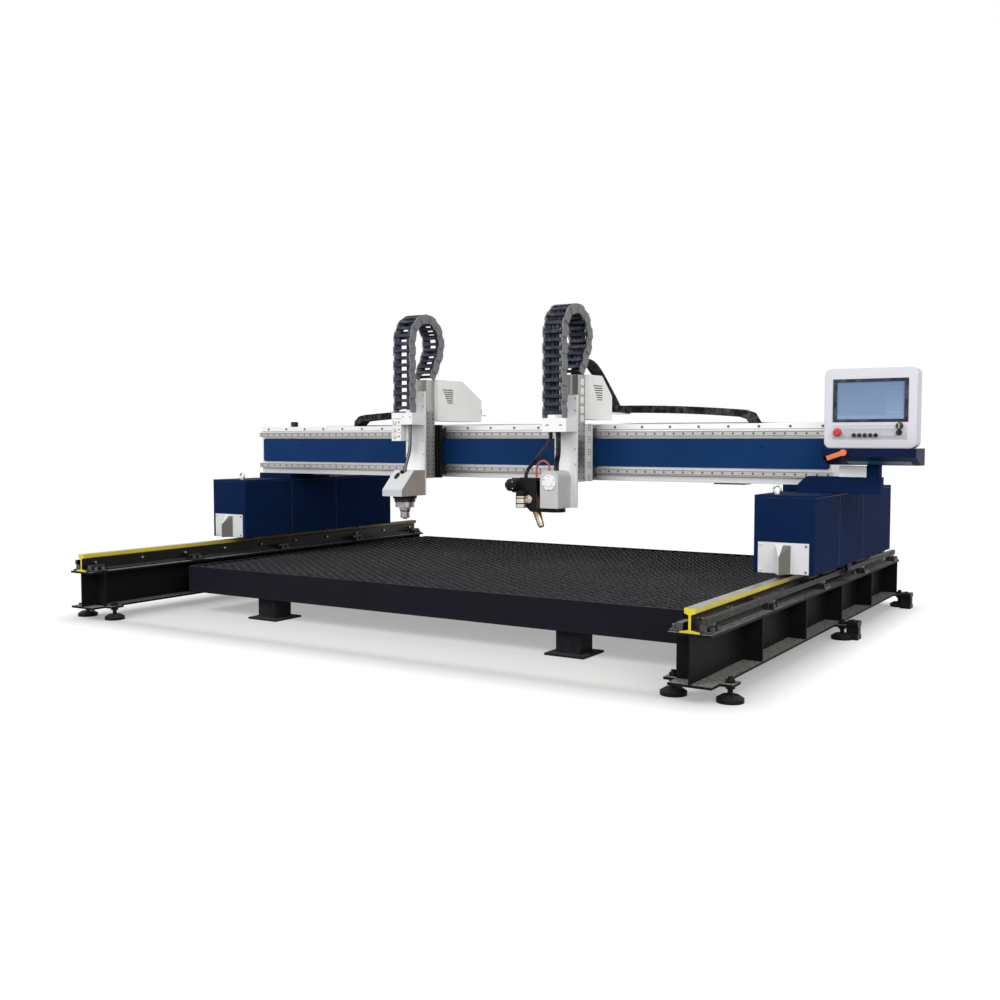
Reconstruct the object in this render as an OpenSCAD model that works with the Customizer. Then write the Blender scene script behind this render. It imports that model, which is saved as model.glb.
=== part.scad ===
// Gantry plasma cutting table: two rail tracks, a slatted table between them,
// a travelling gantry with an operator console, and two cutting heads.
// Millimetres, +Z up. The origin is on the floor, at the middle of the table's anchor holes.
// +X runs along the gantry beam and +Y along the rails, away from the operator.

/* [Track] */
// Distance from the table's edge to the middle of the rail beside it
track_clear = 285; // [265:5:400]
// Length of each rail and of the beam under it
rail_l = 3400; // [3300:20:4200]
// How far the rails stand out in front of the table
rail_lead = 600; // [450:10:700]
// Height of the rail section
rail_h = 107; // [95:1:140]
// Width of the rail foot
rail_base_w = 92; // [80:1:114]
// Width of the rail head
rail_head_w = 51; // [40:1:60]
// Height of the track beam section
track_h = 230; // [200:5:300]
// Width of the track beam flanges
track_w = 200; // [190:5:260]
// Height of the track beam above the floor
foot_h = 72; // [55:1:90]
// Diameter of a levelling foot
foot_d = 120; // [90:2:150]

/* [Table] */
// Width of the slatted table
table_w = 3430; // [3000:10:3700]
// Length of the slatted table, along the rails
table_l = 2590; // [2300:10:2800]
// Height of the slat tips above the floor
table_h = 298; // [280:2:360]
// Height of the plates around the table
apron_h = 166; // [140:2:190]
// Distance from one slat to the next
slat_pitch = 65; // [50:1:100]
// Width of a square table leg
leg_w = 140; // [100:2:160]

/* [Gantry] */
// Length of an end carriage
carriage_l = 1640; // [1500:10:1900]
// Width of an end carriage
carriage_w = 314; // [290:2:340]
// Height of an end carriage
carriage_h = 406; // [360:2:460]
// Where the carriages' front faces stand at rest, along the rails
gantry_y = -664; // [-700:2:-600]
// Radius of a running wheel's tread
wheel_r = 75; // [65:1:90]
// How far the gantry beam runs past the rail centres
beam_over = 125; // [90:5:200]
// Height of the gantry beam
beam_h = 340; // [320:2:380]
// Depth of the gantry beam
beam_d = 400; // [340:5:450]
// Height of the blue panel along the beam
panel_h = 168; // [130:2:180]

/* [Heads] */
// Place of the left head along the beam
left_x = -518; // [-600:2:-440]
// Place of the right head along the beam
right_x = 600; // [560:2:700]
// Height of a head's column
column_h = 640; // [600:5:700]
// Width of a head's column
column_w = 120; // [100:2:140]
// Depth of a head's column
column_d = 90; // [70:2:110]
// Width of the upright cable chains
chain_w = 140; // [110:2:160]
// Bend radius of the upright cable chains
chain_r = 158; // [140:1:175]
// Depth of the left motor housing
left_housing_l = 520; // [420:5:560]
// Depth of the right motor housing
right_housing_l = 310; // [260:5:400]
// Diameter of a plasma torch
torch_d = 56; // [46:1:62]
// Lean of the bevel torch from upright
bevel_lean = 20; // [10:1:30]

/* [Console] */
// Width of the console
console_w = 472; // [440:2:520]
// Height of the console
console_h = 416; // [380:2:440]
// Depth of the console
console_d = 90; // [70:2:110]
// Width of the screen
screen_w = 356; // [300:2:380]
// Height of the screen
screen_h = 206; // [170:2:220]

/* [Hidden] */
$fn = 48;
// One overrun for every cut
over = 1;
// Clearance between flat sliding faces
slide_gap = 0.3;
// Radial clearance of a turning fit
turn_gap = 0.05;

// Track section
flange_t = 12;
track_web_t = 9;
rib_t = 10;
rib_outer_shares = [0.188, 0.387, 0.586, 0.785, 0.985];
rib_inner_shares = [0.03, 0.25, 0.5, 0.75, 0.985];
rail_web_t = 12;
rail_head_h = 30;
rail_neck_h = 8;
rail_foot_edge = 7;
rail_foot_h = 14;
// Levelling feet
foot_shares = [0.041, 0.555, 0.97];
stud_d = 24;
stud_up = 26;
lug_l = 90;
lug_out = 60;
foot_lug_x = track_w / 2 + lug_out / 2;
pad_t = 32;
pad_rim = 18;
pad_top_d = 76;
nut_t = 14;
nut_d = 44;
// Rail clamps and the rack that the outer ones carry
clamp_shares = [0.02, 0.25, 0.5, 0.75, 0.98];
clamp_l = 100;
clamp_lip = 8;
clamp_rise = 40;
clamp_tail = 10;
clamp_out = 99;
clamp_bolt_x = 85;
clamp_head_d = 26;
clamp_head_t = 18;
rack_body_t = 19;
rack_h = 28;
rack_inset = 51;
gear_module = 4;
gear_teeth = 20;
gear_angle = 20;
gear_backlash = 0.5;
gear_root_gap = 1;
gear_flank_steps = 4;
// Table
apron_t = 12;
slat_t = 6;
slat_h = 100;
slat_tooth = 80;
slat_tooth_h = 12;
slat_room = 2;
bearer_t = 12;
bearer_shares = [-1.45, -1, -0.5, 0, 0.5, 1, 1.45];
leg_in = 650;
leg_inset = 110;
leg_wall = 8;
leg_base_w = 230;
leg_base_t = 12;
anchor_dx = 93;
anchor_r = 9;
// End carriages
carriage_wall = 6;
carriage_rise = 15;
axle_inset = 230;
axle_r = 20;
wheel_w = 76;
flange_side_gap = 3;
flange_wheel_drop = 14;
shelf_t = 10;
shelf_l = 220;
gearbox_w = 96;
gearbox_h = 120;
motor_w = 86;
motor_h = 170;
shaft_r = 16;
plow_w = 84;
plow_out = 70;
plow_h = 150;
plow_slope = 60;
sweeper_w = 266;
sweeper_h = 160;
sweeper_t = 6;
sweeper_lift = 3;
screw_d = 12;
screw_t = 4;
screw_inset = 14;
eye_r = 22;
eye_wire_r = 6;
eye_base_r = 16;
eye_base_t = 8;
eye_inset = 70;
eye_side = 60;
// Gantry beam
seat_t = 37;
seat_over = 30;
beam_inset = 461;
beam_wall = 10;
xrail_z_share = 0.332;
xrail_h = 34;
xrail_t = 28;
panel_t = 14;
panel_r = 16;
panel_end = 26;
latch_r = 9;
latch_t = 8;
latch_share = 0.81;
tray_w = 150;
tray_wall = 3;
tray_lip = 16;
tray_room = 3;
tray_end = 150;
stop_w = 34;
stop_d = 40;
stop_h = 36;
stop_inset = 306;
park_w = 180;
park_t = 8;
park_d = 120;
park_share = 0.72;
junction_w = 140;
junction_gap = 3;
junction_h = 58;
junction_d = 60;
// Console arm, post and console
arm_in = 50;
arm_out = 392;
arm_h = 88;
arm_d = 66;
arm_slope = 50;
post_w = 62;
post_out = 352;
post_h = 64;
pivot_r = 18;
pivot_h = 24;
console_out = 337;
tray_h = 88;
tray_over = 22;
tray_front = 120;
console_wall = 6;
console_r = 34;
screen_up = 42;
screen_t = 6;
screen_sunk = 4;
estop_dx = -166;
estop_dz = -124;
estop_r = 20;
estop_t = 18;
estop_stem_r = 11;
estop_travel = 5;
selector_dx0 = -80;
selector_pitch = 28;
selector_count = 5;
selector_dz = -140;
selector_r = 10;
selector_t = 16;
selector_stem_r = 5;
selector_grip = 5;
key_dx = 148;
key_dz = -126;
key_r = 12;
key_t = 9;
key_bow_w = 5;
key_bow_h = 20;
key_bow_t = 14;
lever_dx = -100;
lever_l = 88;
lever_w = 24;
lever_t = 14;
lever_r = 17;
lever_lean = 20;
// Cutting heads, as distances out from the beam's front face
block_t = 60;
block_w = 80;
block_h = 74;
saddle_w = 172;
saddle_t = 20;
saddle_rib_t = 20;
saddle_rib_d = 30;
saddle_drop = 4;
column_wall = 10;
column_drop = 5;
guide_w = 30;
guide_t = 16;
guide_block_t = 25;
guide_block_w = 84;
guide_block_h = 90;
lift_w = 150;
lift_t = 18;
left_lift_up = 419;
right_lift_up = 373;
left_plate_h = 530;
right_plate_h = 530;
plate_up = 140;
guide_block_drop = 60;
bracket_h = 80;
bracket_w = 164;
bracket_d = 142;
ledge_t = 12;
ledge_block_d = 44;
housing_w = 170;
housing_h = 268;
housing_gap = 30;
housing_cut_y_share = 0.44;
housing_cut_z_share = 0.55;
housing_wall = 4;
housing_slots = 7;
housing_slot_h = 6;
housing_slot_step = 14;
housing_slot_l = 120;
housing_slot_inset = 60;
// Left torch and its hood
valve_w = 76;
valve_d = 56;
valve_h = 168;
hood_w = 156;
hood_top = 368;
hood_h = 163;
hood_skirt = 42;
hood_top_d = 120;
hood_d = 246;
hood_wall = 3;
torch_y = 172;
torch_tip_drop = 682;
torch_top_drop = 390;
torch_hold_drop = 430;
torch_hold_h = 40;
torch_hold_wall = 16;
shield_h = 60;
shield_d = 46;
tip_d = 24;
collar_gap = 2;
collar_d = 136;
collar_h = 38;
ring_d = 122;
ring_h = 34;
nose_d = 72;
nose_h = 38;
// Bevel head
bevel_dx = -25;
gear_case_w = 122;
gear_case_d = 154;
gear_case_h = 222;
gear_case_top = 308;
gear_case_r = 40;
hub_d = 120;
hub_t = 24;
spindle_r = 20;
spindle_h = 60;
arm_reach = 155;
arm_up = 62;
cheek_t = 12;
cheek_gap = 84;
cheek_w = 64;
cheek_top = 126;
cheek_step = 38;
trunnion_r = 12;
tilt_arm = 83;
tilt_rise = 86;
tilt_motor_d = 74;
tilt_motor_l = 72;
case_clear = 105;
bridge_l = 125;
bridge_t = 14;
sensor_d = 64;
sensor_l = 100;
sensor_dx = -38;
clamp_ring_wall = 9;
clamp_ring_h = 60;
bevel_tip = 180;
bevel_top = 104;
bevel_cap_d = 40;
// Upright chains
chain_t = 58;
chain_links = 26;
chain_plate_t = 6;
chain_bar_t = 6;
chain_bar_share = 0.42;
chain_plate_share = 0.25;
chain_back_angle = 29;
chain_top_up = 870;
chain_front_y = 110;
right_chain_dx = -12;
// Level chains behind the beam
flat_chain_w = 100;
flat_chain_t = 46;
flat_chain_r = 96;
flat_chain_run_l = 985;
flat_chain_run_r = 840;
flat_chain_sag = 36;
flat_chain_links_l = 38;
flat_chain_links_r = 34;
flat_chain_low = 700;
flat_chain_z = 104;
flat_chain_tab_t = 8;
flat_chain_tab_l = 110;

// Heights that follow from the track
track_top = foot_h + track_h;
rail_top = track_top + rail_h;
carriage_z = rail_top + carriage_rise;
carriage_top = carriage_z + carriage_h;
beam_z = carriage_top + seat_t;
beam_top = beam_z + beam_h;
left_lift_z = beam_z + left_lift_up;
right_lift_z = beam_z + right_lift_up;
chain_top_z = beam_z + chain_top_up;
// Places along the rails
rail_y0 = -table_l / 2 - rail_lead;
carriage_y1 = gantry_y + carriage_l;
beam_y = gantry_y + beam_inset;
beam_back = beam_y + beam_d;
rail_x = table_w / 2 + track_clear;
leg_x = table_w / 2 - leg_in;
beam_half_l = rail_x + beam_over;
stop_x = beam_half_l - stop_inset;
// Rack and pinion
pinion_r = gear_module * gear_teeth / 2;
gear_pitch = PI * gear_module;
rack_pitch_x = rack_inset + rack_body_t + gear_module;
pinion_x = rack_pitch_x + pinion_r;
rack_z = track_top + clamp_rise;
pinion_y = gantry_y + carriage_l / 2;
// Heads
saddle_y = beam_y - block_t;
rib_y = saddle_y - saddle_t;
column_back = rib_y - saddle_rib_d;
column_front = column_back - column_d;
column_z = beam_z - column_drop;
column_top = column_z + column_h;
lift_back = column_front - guide_block_t;
lift_front = lift_back - lift_t;
xrail_z0 = beam_z + beam_h / 2 - beam_h * xrail_z_share;
xrail_z1 = beam_z + beam_h / 2 + beam_h * xrail_z_share;
housing_z = beam_top + housing_gap;
flat_z1 = beam_top + flat_chain_z;
bevel_x = right_x + bevel_dx;
bevel_axis_y = lift_front - gear_case_d / 2;
gear_case_z1 = right_lift_z - gear_case_top;
gear_case_z0 = gear_case_z1 - gear_case_h;
hub_z = gear_case_z0 - slide_gap - hub_t;
tilt_x = bevel_x - arm_reach;
tilt_z = hub_z + hub_t / 2 + arm_up;
// Console
arm_x0 = rail_x - arm_in;
arm_x1 = rail_x + arm_out;
post_x = rail_x + post_out;
console_x = rail_x + console_out;
arm_top = carriage_top + arm_h;
arm_y1 = beam_y - xrail_t - slide_gap;
arm_y0 = arm_y1 - arm_d;
pivot_y = (arm_y0 + arm_y1) / 2;
tray_z = arm_top + post_h + slide_gap;
console_z = tray_z + tray_h;
console_y1 = arm_y1 - slide_gap;
console_y0 = console_y1 - console_d;

// A box between two ends on each axis
module box(x, y, z) {
  translate([x[0], y[0], z[0]]) cube([x[1] - x[0], y[1] - y[0], z[1] - z[0]]);
}

// A round bar along X, Y or Z from one end to the other
module bar_x(r, x0, x1) {
  translate([x0, 0, 0]) rotate([0, 90, 0]) cylinder(r = r, h = x1 - x0);
}
module bar_y(r, y0, y1) {
  translate([0, y1, 0]) rotate([90, 0, 0]) cylinder(r = r, h = y1 - y0);
}
module bar_z(r, z0, z1) {
  translate([0, 0, z0]) cylinder(r = r, h = z1 - z0);
}

// An outline in Y and Z, extruded along X; and one in X and Z, extruded along Y
module side_plate(points, x0, x1) {
  translate([x0, 0, 0]) rotate([90, 0, 90]) linear_extrude(x1 - x0) polygon(points);
}
module face_plate(points, y0, y1) {
  translate([0, y1, 0]) rotate([90, 0, 0]) linear_extrude(y1 - y0) polygon(points);
}

// The right-hand piece and its mirror image on the left
module both_sides() {
  children();
  mirror([1, 0, 0]) children();
}

// Track beams with ribs and lugs for the levelling feet
module track_section() {
  for (z = [foot_h, track_top - flange_t])
    translate([-track_w / 2, z]) square([track_w, flange_t]);
  translate([-track_web_t / 2, foot_h]) square([track_web_t, track_h]);
}
module track_beam() {
  difference() {
    union() {
      translate([rail_x, rail_y0 + rail_l, 0]) rotate([90, 0, 0])
        linear_extrude(rail_l) track_section();
      for (share = rib_outer_shares)
        translate([rail_x, rail_y0 + share * rail_l, 0])
          box([0, track_w / 2], [-rib_t / 2, rib_t / 2],
              [foot_h + flange_t / 2, track_top - flange_t / 2]);
      for (share = rib_inner_shares)
        translate([rail_x, rail_y0 + share * rail_l, 0])
          box([-track_w / 2, 0], [-rib_t / 2, rib_t / 2],
              [foot_h + flange_t / 2, track_top - flange_t / 2]);
      for (share = foot_shares)
        translate([rail_x, rail_y0 + share * rail_l, 0])
          box([-track_w / 2 - lug_out, track_w / 2 + lug_out], [-lug_l / 2, lug_l / 2],
              [foot_h, foot_h + flange_t]);
    }
    for (share = foot_shares, side = [-1, 1])
      translate([rail_x + side * foot_lug_x, rail_y0 + share * rail_l, 0])
        bar_z(stud_d / 2 + slide_gap, foot_h - over, foot_h + flange_t + over);
  }
}
module track_beams() color([0.06, 0.06, 0.07]) both_sides() track_beam();

// Rails: foot, web and head
rail_outline = [
  [-rail_base_w / 2, 0], [rail_base_w / 2, 0], [rail_base_w / 2, rail_foot_edge],
  [rail_web_t / 2, rail_foot_h], [rail_web_t / 2, rail_h - rail_head_h],
  [rail_head_w / 2, rail_h - rail_head_h + rail_neck_h], [rail_head_w / 2, rail_h],
  [-rail_head_w / 2, rail_h], [-rail_head_w / 2, rail_h - rail_head_h + rail_neck_h],
  [-rail_web_t / 2, rail_h - rail_head_h], [-rail_web_t / 2, rail_foot_h],
  [-rail_base_w / 2, rail_foot_edge]
];
module rails() color([0.86, 0.72, 0.12]) both_sides()
  translate([rail_x, 0, track_top]) face_plate(rail_outline, rail_y0, rail_y0 + rail_l);

// Clamps that hold the rail's foot; the outer ones carry the rack
clamp_lip_z = rail_foot_edge + clamp_lip * (rail_foot_h - rail_foot_edge)
  / (rail_base_w / 2 - rail_web_t / 2) + slide_gap;
clamp_outline = [
  [rail_base_w / 2 + slide_gap, 0], [clamp_out, 0], [clamp_out, clamp_tail],
  [rack_inset + rack_body_t, clamp_tail], [rack_inset + rack_body_t, clamp_rise],
  [rail_base_w / 2 - clamp_lip, clamp_rise], [rail_base_w / 2 - clamp_lip, clamp_lip_z],
  [rail_base_w / 2 + slide_gap, clamp_lip_z]
];
module rail_clamp() {
  face_plate(clamp_outline, -clamp_l / 2, clamp_l / 2);
  for (side = [-1, 1])
    translate([clamp_bolt_x, side * clamp_l / 4, 0])
      cylinder(d = clamp_head_d, h = clamp_tail + clamp_head_t, $fn = 6);
}
module rail_clamps() color([0.12, 0.12, 0.13]) both_sides()
  for (share = clamp_shares, turn = [0, 180])
    translate([rail_x, rail_y0 + share * rail_l, track_top]) rotate(turn) rail_clamp();

// Racks: straight-sided teeth along the outer side of each rail
rack_teeth = floor(rail_l / gear_pitch) - 1;
rack_y0 = pinion_y + (ceil((rail_y0 - pinion_y) / gear_pitch) + 1) * gear_pitch;
rack_half_tip = gear_pitch / 4 - gear_backlash / 2 - gear_module * tan(gear_angle);
rack_half_root = gear_pitch / 4 - gear_backlash / 2 + (gear_module + gear_root_gap) * tan(gear_angle);
rack_root_x = rack_pitch_x - gear_module - gear_root_gap;
rack_outline = concat(
  [[rack_inset, rack_y0 - gear_pitch / 2], [rack_root_x, rack_y0 - gear_pitch / 2]],
  [for (i = [0:rack_teeth - 2], p = [
      [rack_root_x, -rack_half_root], [rack_pitch_x + gear_module, -rack_half_tip],
      [rack_pitch_x + gear_module, rack_half_tip], [rack_root_x, rack_half_root]])
    [p[0], rack_y0 + (i + 0.5) * gear_pitch + p[1]]],
  [[rack_root_x, rack_y0 + (rack_teeth - 0.5) * gear_pitch],
   [rack_inset, rack_y0 + (rack_teeth - 0.5) * gear_pitch]]
);
module racks() color([0.45, 0.46, 0.48]) both_sides()
  translate([rail_x, 0, rack_z]) linear_extrude(rack_h) polygon(rack_outline);

// Levelling feet: a pad, a stud and its nuts
module levelling_foot() {
  rotate_extrude() polygon([
    [0, 0], [foot_d / 2, 0], [foot_d / 2, pad_rim], [pad_top_d / 2, pad_t],
    [stud_d / 2, pad_t], [stud_d / 2, foot_h + flange_t + stud_up],
    [0, foot_h + flange_t + stud_up]
  ]);
  for (z = [foot_h - nut_t, foot_h + flange_t])
    translate([0, 0, z]) cylinder(d = nut_d, h = nut_t, $fn = 6);
}
module levelling_feet() color([0.1, 0.1, 0.11]) both_sides()
  for (share = foot_shares, side = [-1, 1])
    translate([rail_x + side * foot_lug_x, rail_y0 + share * rail_l, 0]) levelling_foot();

// Table frame: plates all round, and bearers on edge that carry the slats
apron_z = table_h - apron_h;
slat_z = table_h - slat_h;
table_in_x = table_w / 2 - apron_t;
table_in_y = table_l / 2 - apron_t;
module table_frame() color([0.07, 0.07, 0.08]) {
  for (side = [-1, 1]) {
    translate([0, side * (table_l - apron_t) / 2, 0])
      box([-table_w / 2, table_w / 2], [-apron_t / 2, apron_t / 2], [apron_z, table_h]);
    translate([side * (table_w - apron_t) / 2, 0, 0])
      box([-apron_t / 2, apron_t / 2], [slide_gap - table_in_y, table_in_y - slide_gap], [apron_z, table_h]);
  }
  for (share = bearer_shares)
    translate([share * leg_x, 0, 0])
      box([-bearer_t / 2, bearer_t / 2], [slide_gap - table_in_y, table_in_y - slide_gap], [apron_z, slat_z]);
}

// Slats with saw-tooth tops, standing on the bearers
slat_half_l = table_in_x - slat_room;
slat_teeth = floor(2 * slat_half_l / slat_tooth);
slat_step = 2 * slat_half_l / slat_teeth;
slat_outline = concat(
  [[-slat_half_l, slat_z]],
  [for (i = [0:slat_teeth - 1], k = [0, 1])
    [-slat_half_l + (i + k / 2) * slat_step, k == 0 ? table_h - slat_tooth_h : table_h]],
  [[slat_half_l, table_h - slat_tooth_h], [slat_half_l, slat_z]]
);
slat_count = floor((2 * table_in_y - slat_t) / slat_pitch);
module slats() color([0.16, 0.16, 0.17])
  for (i = [0:slat_count - 1])
    translate([0, (i - (slat_count - 1) / 2) * slat_pitch, 0])
      face_plate(slat_outline, -slat_t / 2, slat_t / 2);

// Legs: square tube on a drilled base plate
leg_y = table_l / 2 - leg_inset;
module table_leg() {
  difference() {
    box([-leg_w / 2, leg_w / 2], [-leg_w / 2, leg_w / 2], [leg_base_t, apron_z]);
    box([leg_wall - leg_w / 2, leg_w / 2 - leg_wall], [leg_wall - leg_w / 2, leg_w / 2 - leg_wall],
        [leg_base_t + leg_wall, apron_z - leg_wall]);
  }
  difference() {
    box([-leg_base_w / 2, leg_base_w / 2], [-leg_base_w / 2, leg_base_w / 2], [0, leg_base_t]);
    for (side = [-1, 1])
      translate([side * anchor_dx, 0, 0]) bar_z(anchor_r, -over, leg_base_t + over);
  }
}
module table_legs() color([0.07, 0.07, 0.08])
  for (x = [-leg_x, leg_x], y = [-leg_y, 0, leg_y]) translate([x, y, 0]) table_leg();

// End carriages: open-bottomed boxes with a shelf that carries the drive
axle_z = rail_top + wheel_r + slide_gap;
axle_ys = [gantry_y + axle_inset, carriage_y1 - axle_inset];
carriage_in = carriage_w / 2 - carriage_wall;
module carriage_shell() {
  difference() {
    box([-carriage_w / 2, carriage_w / 2], [gantry_y, carriage_y1], [carriage_z, carriage_top]);
    box([-carriage_in, carriage_in], [gantry_y + carriage_wall, carriage_y1 - carriage_wall],
        [carriage_z - over, carriage_top - carriage_wall]);
  }
  difference() {
    box([rail_head_w, carriage_in], [pinion_y - shelf_l / 2, pinion_y + shelf_l / 2],
        [carriage_z, carriage_z + shelf_t]);
    translate([pinion_x, pinion_y, 0])
      bar_z(shaft_r + turn_gap, carriage_z - over, carriage_z + shelf_t + over);
  }
}
module carriage_shells() color([0.05, 0.11, 0.28]) both_sides()
  translate([rail_x, 0, 0]) carriage_shell();

// Sweeper plates: a plate with a pointed plough that clears the rail, at each end
module sweeper_plate() {
  box([-sweeper_w / 2, sweeper_w / 2], [-sweeper_t, 0], [0, sweeper_h]);
  intersection() {
    linear_extrude(sweeper_h)
      polygon([[-plow_w / 2, -sweeper_t], [0, -sweeper_t - plow_out], [plow_w / 2, -sweeper_t]]);
    side_plate([
      [-sweeper_t, 0], [-sweeper_t - plow_out, 0], [-sweeper_t - plow_out, plow_h - plow_slope],
      [-sweeper_t, plow_h]], -plow_w, plow_w);
  }
  for (x = [-1, 1], z = [screw_inset, sweeper_h - screw_inset])
    translate([x * (sweeper_w / 2 - screw_inset), 0, z])
      bar_y(screw_d / 2, -sweeper_t - screw_t, -sweeper_t);
}
module sweeper_plates() color([0.86, 0.87, 0.9]) both_sides() {
  translate([rail_x, gantry_y, carriage_z + sweeper_lift]) sweeper_plate();
  translate([rail_x, carriage_y1, carriage_z + sweeper_lift]) rotate(180) sweeper_plate();
}

// Seats that carry the beam on the carriages
module beam_seats() color([0.05, 0.11, 0.28]) both_sides()
  box([rail_x - carriage_w / 2, rail_x + carriage_w / 2],
      [beam_y, beam_back + seat_over], [carriage_top, beam_z]);

// Lifting eyes on the carriages
module lifting_eye() {
  cylinder(r = eye_base_r, h = eye_base_t);
  translate([0, 0, eye_base_t + eye_r - eye_wire_r / 2]) rotate([90, 0, 0])
    rotate_extrude() translate([eye_r - eye_wire_r / 2, 0]) circle(r = eye_wire_r, $fn = 24);
}
module lifting_eyes() color([0.8, 0.8, 0.82]) both_sides()
  for (y = [gantry_y + eye_inset, carriage_y1 - eye_inset])
    translate([rail_x - eye_side, y, carriage_top]) lifting_eye();

// Gantry beam: a hollow box, with parking plates under it
module cross_beam() color([0.8, 0.81, 0.84]) difference() {
  box([-beam_half_l, beam_half_l], [beam_y, beam_back], [beam_z, beam_top]);
  box([beam_wall - beam_half_l, beam_half_l - beam_wall],
      [beam_y + beam_wall, beam_back - beam_wall], [beam_z + beam_wall, beam_top - beam_wall]);
}

// Panel along the beam, with its two latches
module front_panel() color([0.05, 0.14, 0.36]) {
  translate([0, beam_y, beam_z + beam_h / 2]) rotate([90, 0, 0]) linear_extrude(panel_t)
    rounded_face(2 * (beam_half_l - panel_end), panel_h, panel_r);
  for (x = [-1, 1])
    translate([x * latch_share * beam_half_l, 0, beam_z + beam_h / 2 + panel_h / 4])
      bar_y(latch_r, beam_y - panel_t - latch_t, beam_y - panel_t);
}

// Two guide rails along the beam
module x_rails() color([0.62, 0.63, 0.65])
  for (z = [xrail_z0, xrail_z1])
    box([-beam_half_l, beam_half_l], [beam_y - xrail_t, beam_y], [z - xrail_h / 2, z + xrail_h / 2]);

// Tray for the level chains, behind the beam
tray_z0 = flat_z1 - 2 * flat_chain_r - flat_chain_t / 2 - tray_room - tray_wall;
module chain_tray() color([0.62, 0.6, 0.58]) {
  box([tray_end - beam_half_l, beam_half_l - tray_end], [beam_back, beam_back + tray_w],
      [tray_z0, tray_z0 + tray_wall]);
  box([tray_end - beam_half_l, beam_half_l - tray_end],
      [beam_back + tray_w, beam_back + tray_w + tray_wall], [tray_z0, beam_top + tray_lip]);
}

// Axles across the carriages
module wheel_axles() color([0.6, 0.6, 0.62]) both_sides()
  for (y = axle_ys) translate([rail_x, y, axle_z]) bar_x(axle_r, -carriage_in, carriage_in);

// Servo motors and gearboxes standing on the carriage shelves
module drive_motor() {
  z = carriage_z + shelf_t;
  difference() {
    box([-gearbox_w / 2, carriage_in - pinion_x], [-gearbox_w / 2, gearbox_w / 2], [z, z + gearbox_h]);
    bar_z(shaft_r + turn_gap, z - over, z + gearbox_h / 2);
  }
  box([-motor_w / 2, carriage_in - pinion_x], [-motor_w / 2, motor_w / 2],
      [z + gearbox_h, z + gearbox_h + motor_h]);
}
module drive_motors() color([0.15, 0.15, 0.16]) both_sides()
  translate([rail_x + pinion_x, pinion_y, 0]) drive_motor();

// End stop on the beam's left end, and parking plates under it
module beam_stops() color([0.1, 0.1, 0.1]) {
  box([-stop_x - stop_w / 2, stop_w / 2 - stop_x], [beam_y, beam_y + stop_d],
      [beam_top, beam_top + stop_h]);
  both_sides() translate([park_share * beam_half_l, 0, 0])
    box([-park_w / 2, park_w / 2], [beam_y, beam_y + park_d], [beam_z - park_t, beam_z]);
}

// Arm from the right carriage that carries the console's post
module console_arm() {
  color([0.05, 0.11, 0.28]) face_plate([
    [arm_x0, carriage_top], [arm_x1, carriage_top], [arm_x1, arm_top],
    [arm_x0 + arm_slope, arm_top], [arm_x0, carriage_top + arm_h - arm_slope]], arm_y0, arm_y1);
  color([0.08, 0.08, 0.09]) translate([post_x, pivot_y, 0]) difference() {
    box([-post_w / 2, post_w / 2], [-post_w / 2, post_w / 2], [arm_top, arm_top + post_h]);
    bar_z(pivot_r + turn_gap, arm_top + post_h - pivot_h, arm_top + post_h + over);
  }
}
module junction_box() color([0.82, 0.82, 0.8]) {
  x1 = post_x - post_w / 2 - junction_gap;
  box([x1 - junction_w, x1], [arm_y0, arm_y0 + junction_d], [arm_top, arm_top + junction_h]);
}

// Running wheels: a flanged tread turning on the axle
wheel_flange_r = wheel_r + flange_wheel_drop;
tread_half = rail_head_w / 2 + flange_side_gap;
module wheel(side, y) color([0.3, 0.3, 0.32])
  translate([side * rail_x, y, axle_z]) rotate([0, 90, 0]) rotate_extrude() polygon([
    [axle_r + turn_gap, -wheel_w / 2], [wheel_flange_r, -wheel_w / 2],
    [wheel_flange_r, -tread_half], [wheel_r, -tread_half], [wheel_r, tread_half],
    [wheel_flange_r, tread_half], [wheel_flange_r, wheel_w / 2], [axle_r + turn_gap, wheel_w / 2]
  ]);
module wheel_front_left() wheel(-1, axle_ys[0]);
module wheel_front_right() wheel(1, axle_ys[0]);
module wheel_rear_left() wheel(-1, axle_ys[1]);
module wheel_rear_right() wheel(1, axle_ys[1]);

// Pinions: involute teeth from the base circle to the tip
gear_base_r = pinion_r * cos(gear_angle);
gear_tip_r = pinion_r + gear_module;
gear_root_r = pinion_r - gear_module - gear_root_gap;
function involute(r) = r <= gear_base_r ? 0
  : sqrt(pow(r / gear_base_r, 2) - 1) * 180 / PI - acos(gear_base_r / r);
gear_half_angle = 90 / gear_teeth - gear_backlash / 2 / pinion_r * 180 / PI + involute(pinion_r);
flank_radii = concat([gear_root_r], [for (k = [0:gear_flank_steps])
  gear_base_r + (gear_tip_r - gear_base_r) * k / gear_flank_steps]);
flank_last = len(flank_radii) - 1;
gear_outline = [for (i = [0:gear_teeth - 1], k = [-flank_last:flank_last + 1])
  let (j = k <= 0 ? flank_last + k : flank_last + 1 - k,
       side = k <= 0 ? -1 : 1,
       a = i * 360 / gear_teeth + side * (gear_half_angle - involute(flank_radii[j])))
  flank_radii[j] * [cos(a), sin(a)]];
module pinion(side) color([0.5, 0.5, 0.52])
  translate([side * (rail_x + pinion_x), pinion_y, 0]) rotate(side > 0 ? 180 : 0) {
    translate([0, 0, rack_z + gear_module]) linear_extrude(rack_h - 2 * gear_module) polygon(gear_outline);
    bar_z(shaft_r, rack_z + gear_module, carriage_z + shelf_t + gearbox_h / 2 - over);
  }
module pinion_left() pinion(-1);
module pinion_right() pinion(1);

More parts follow.
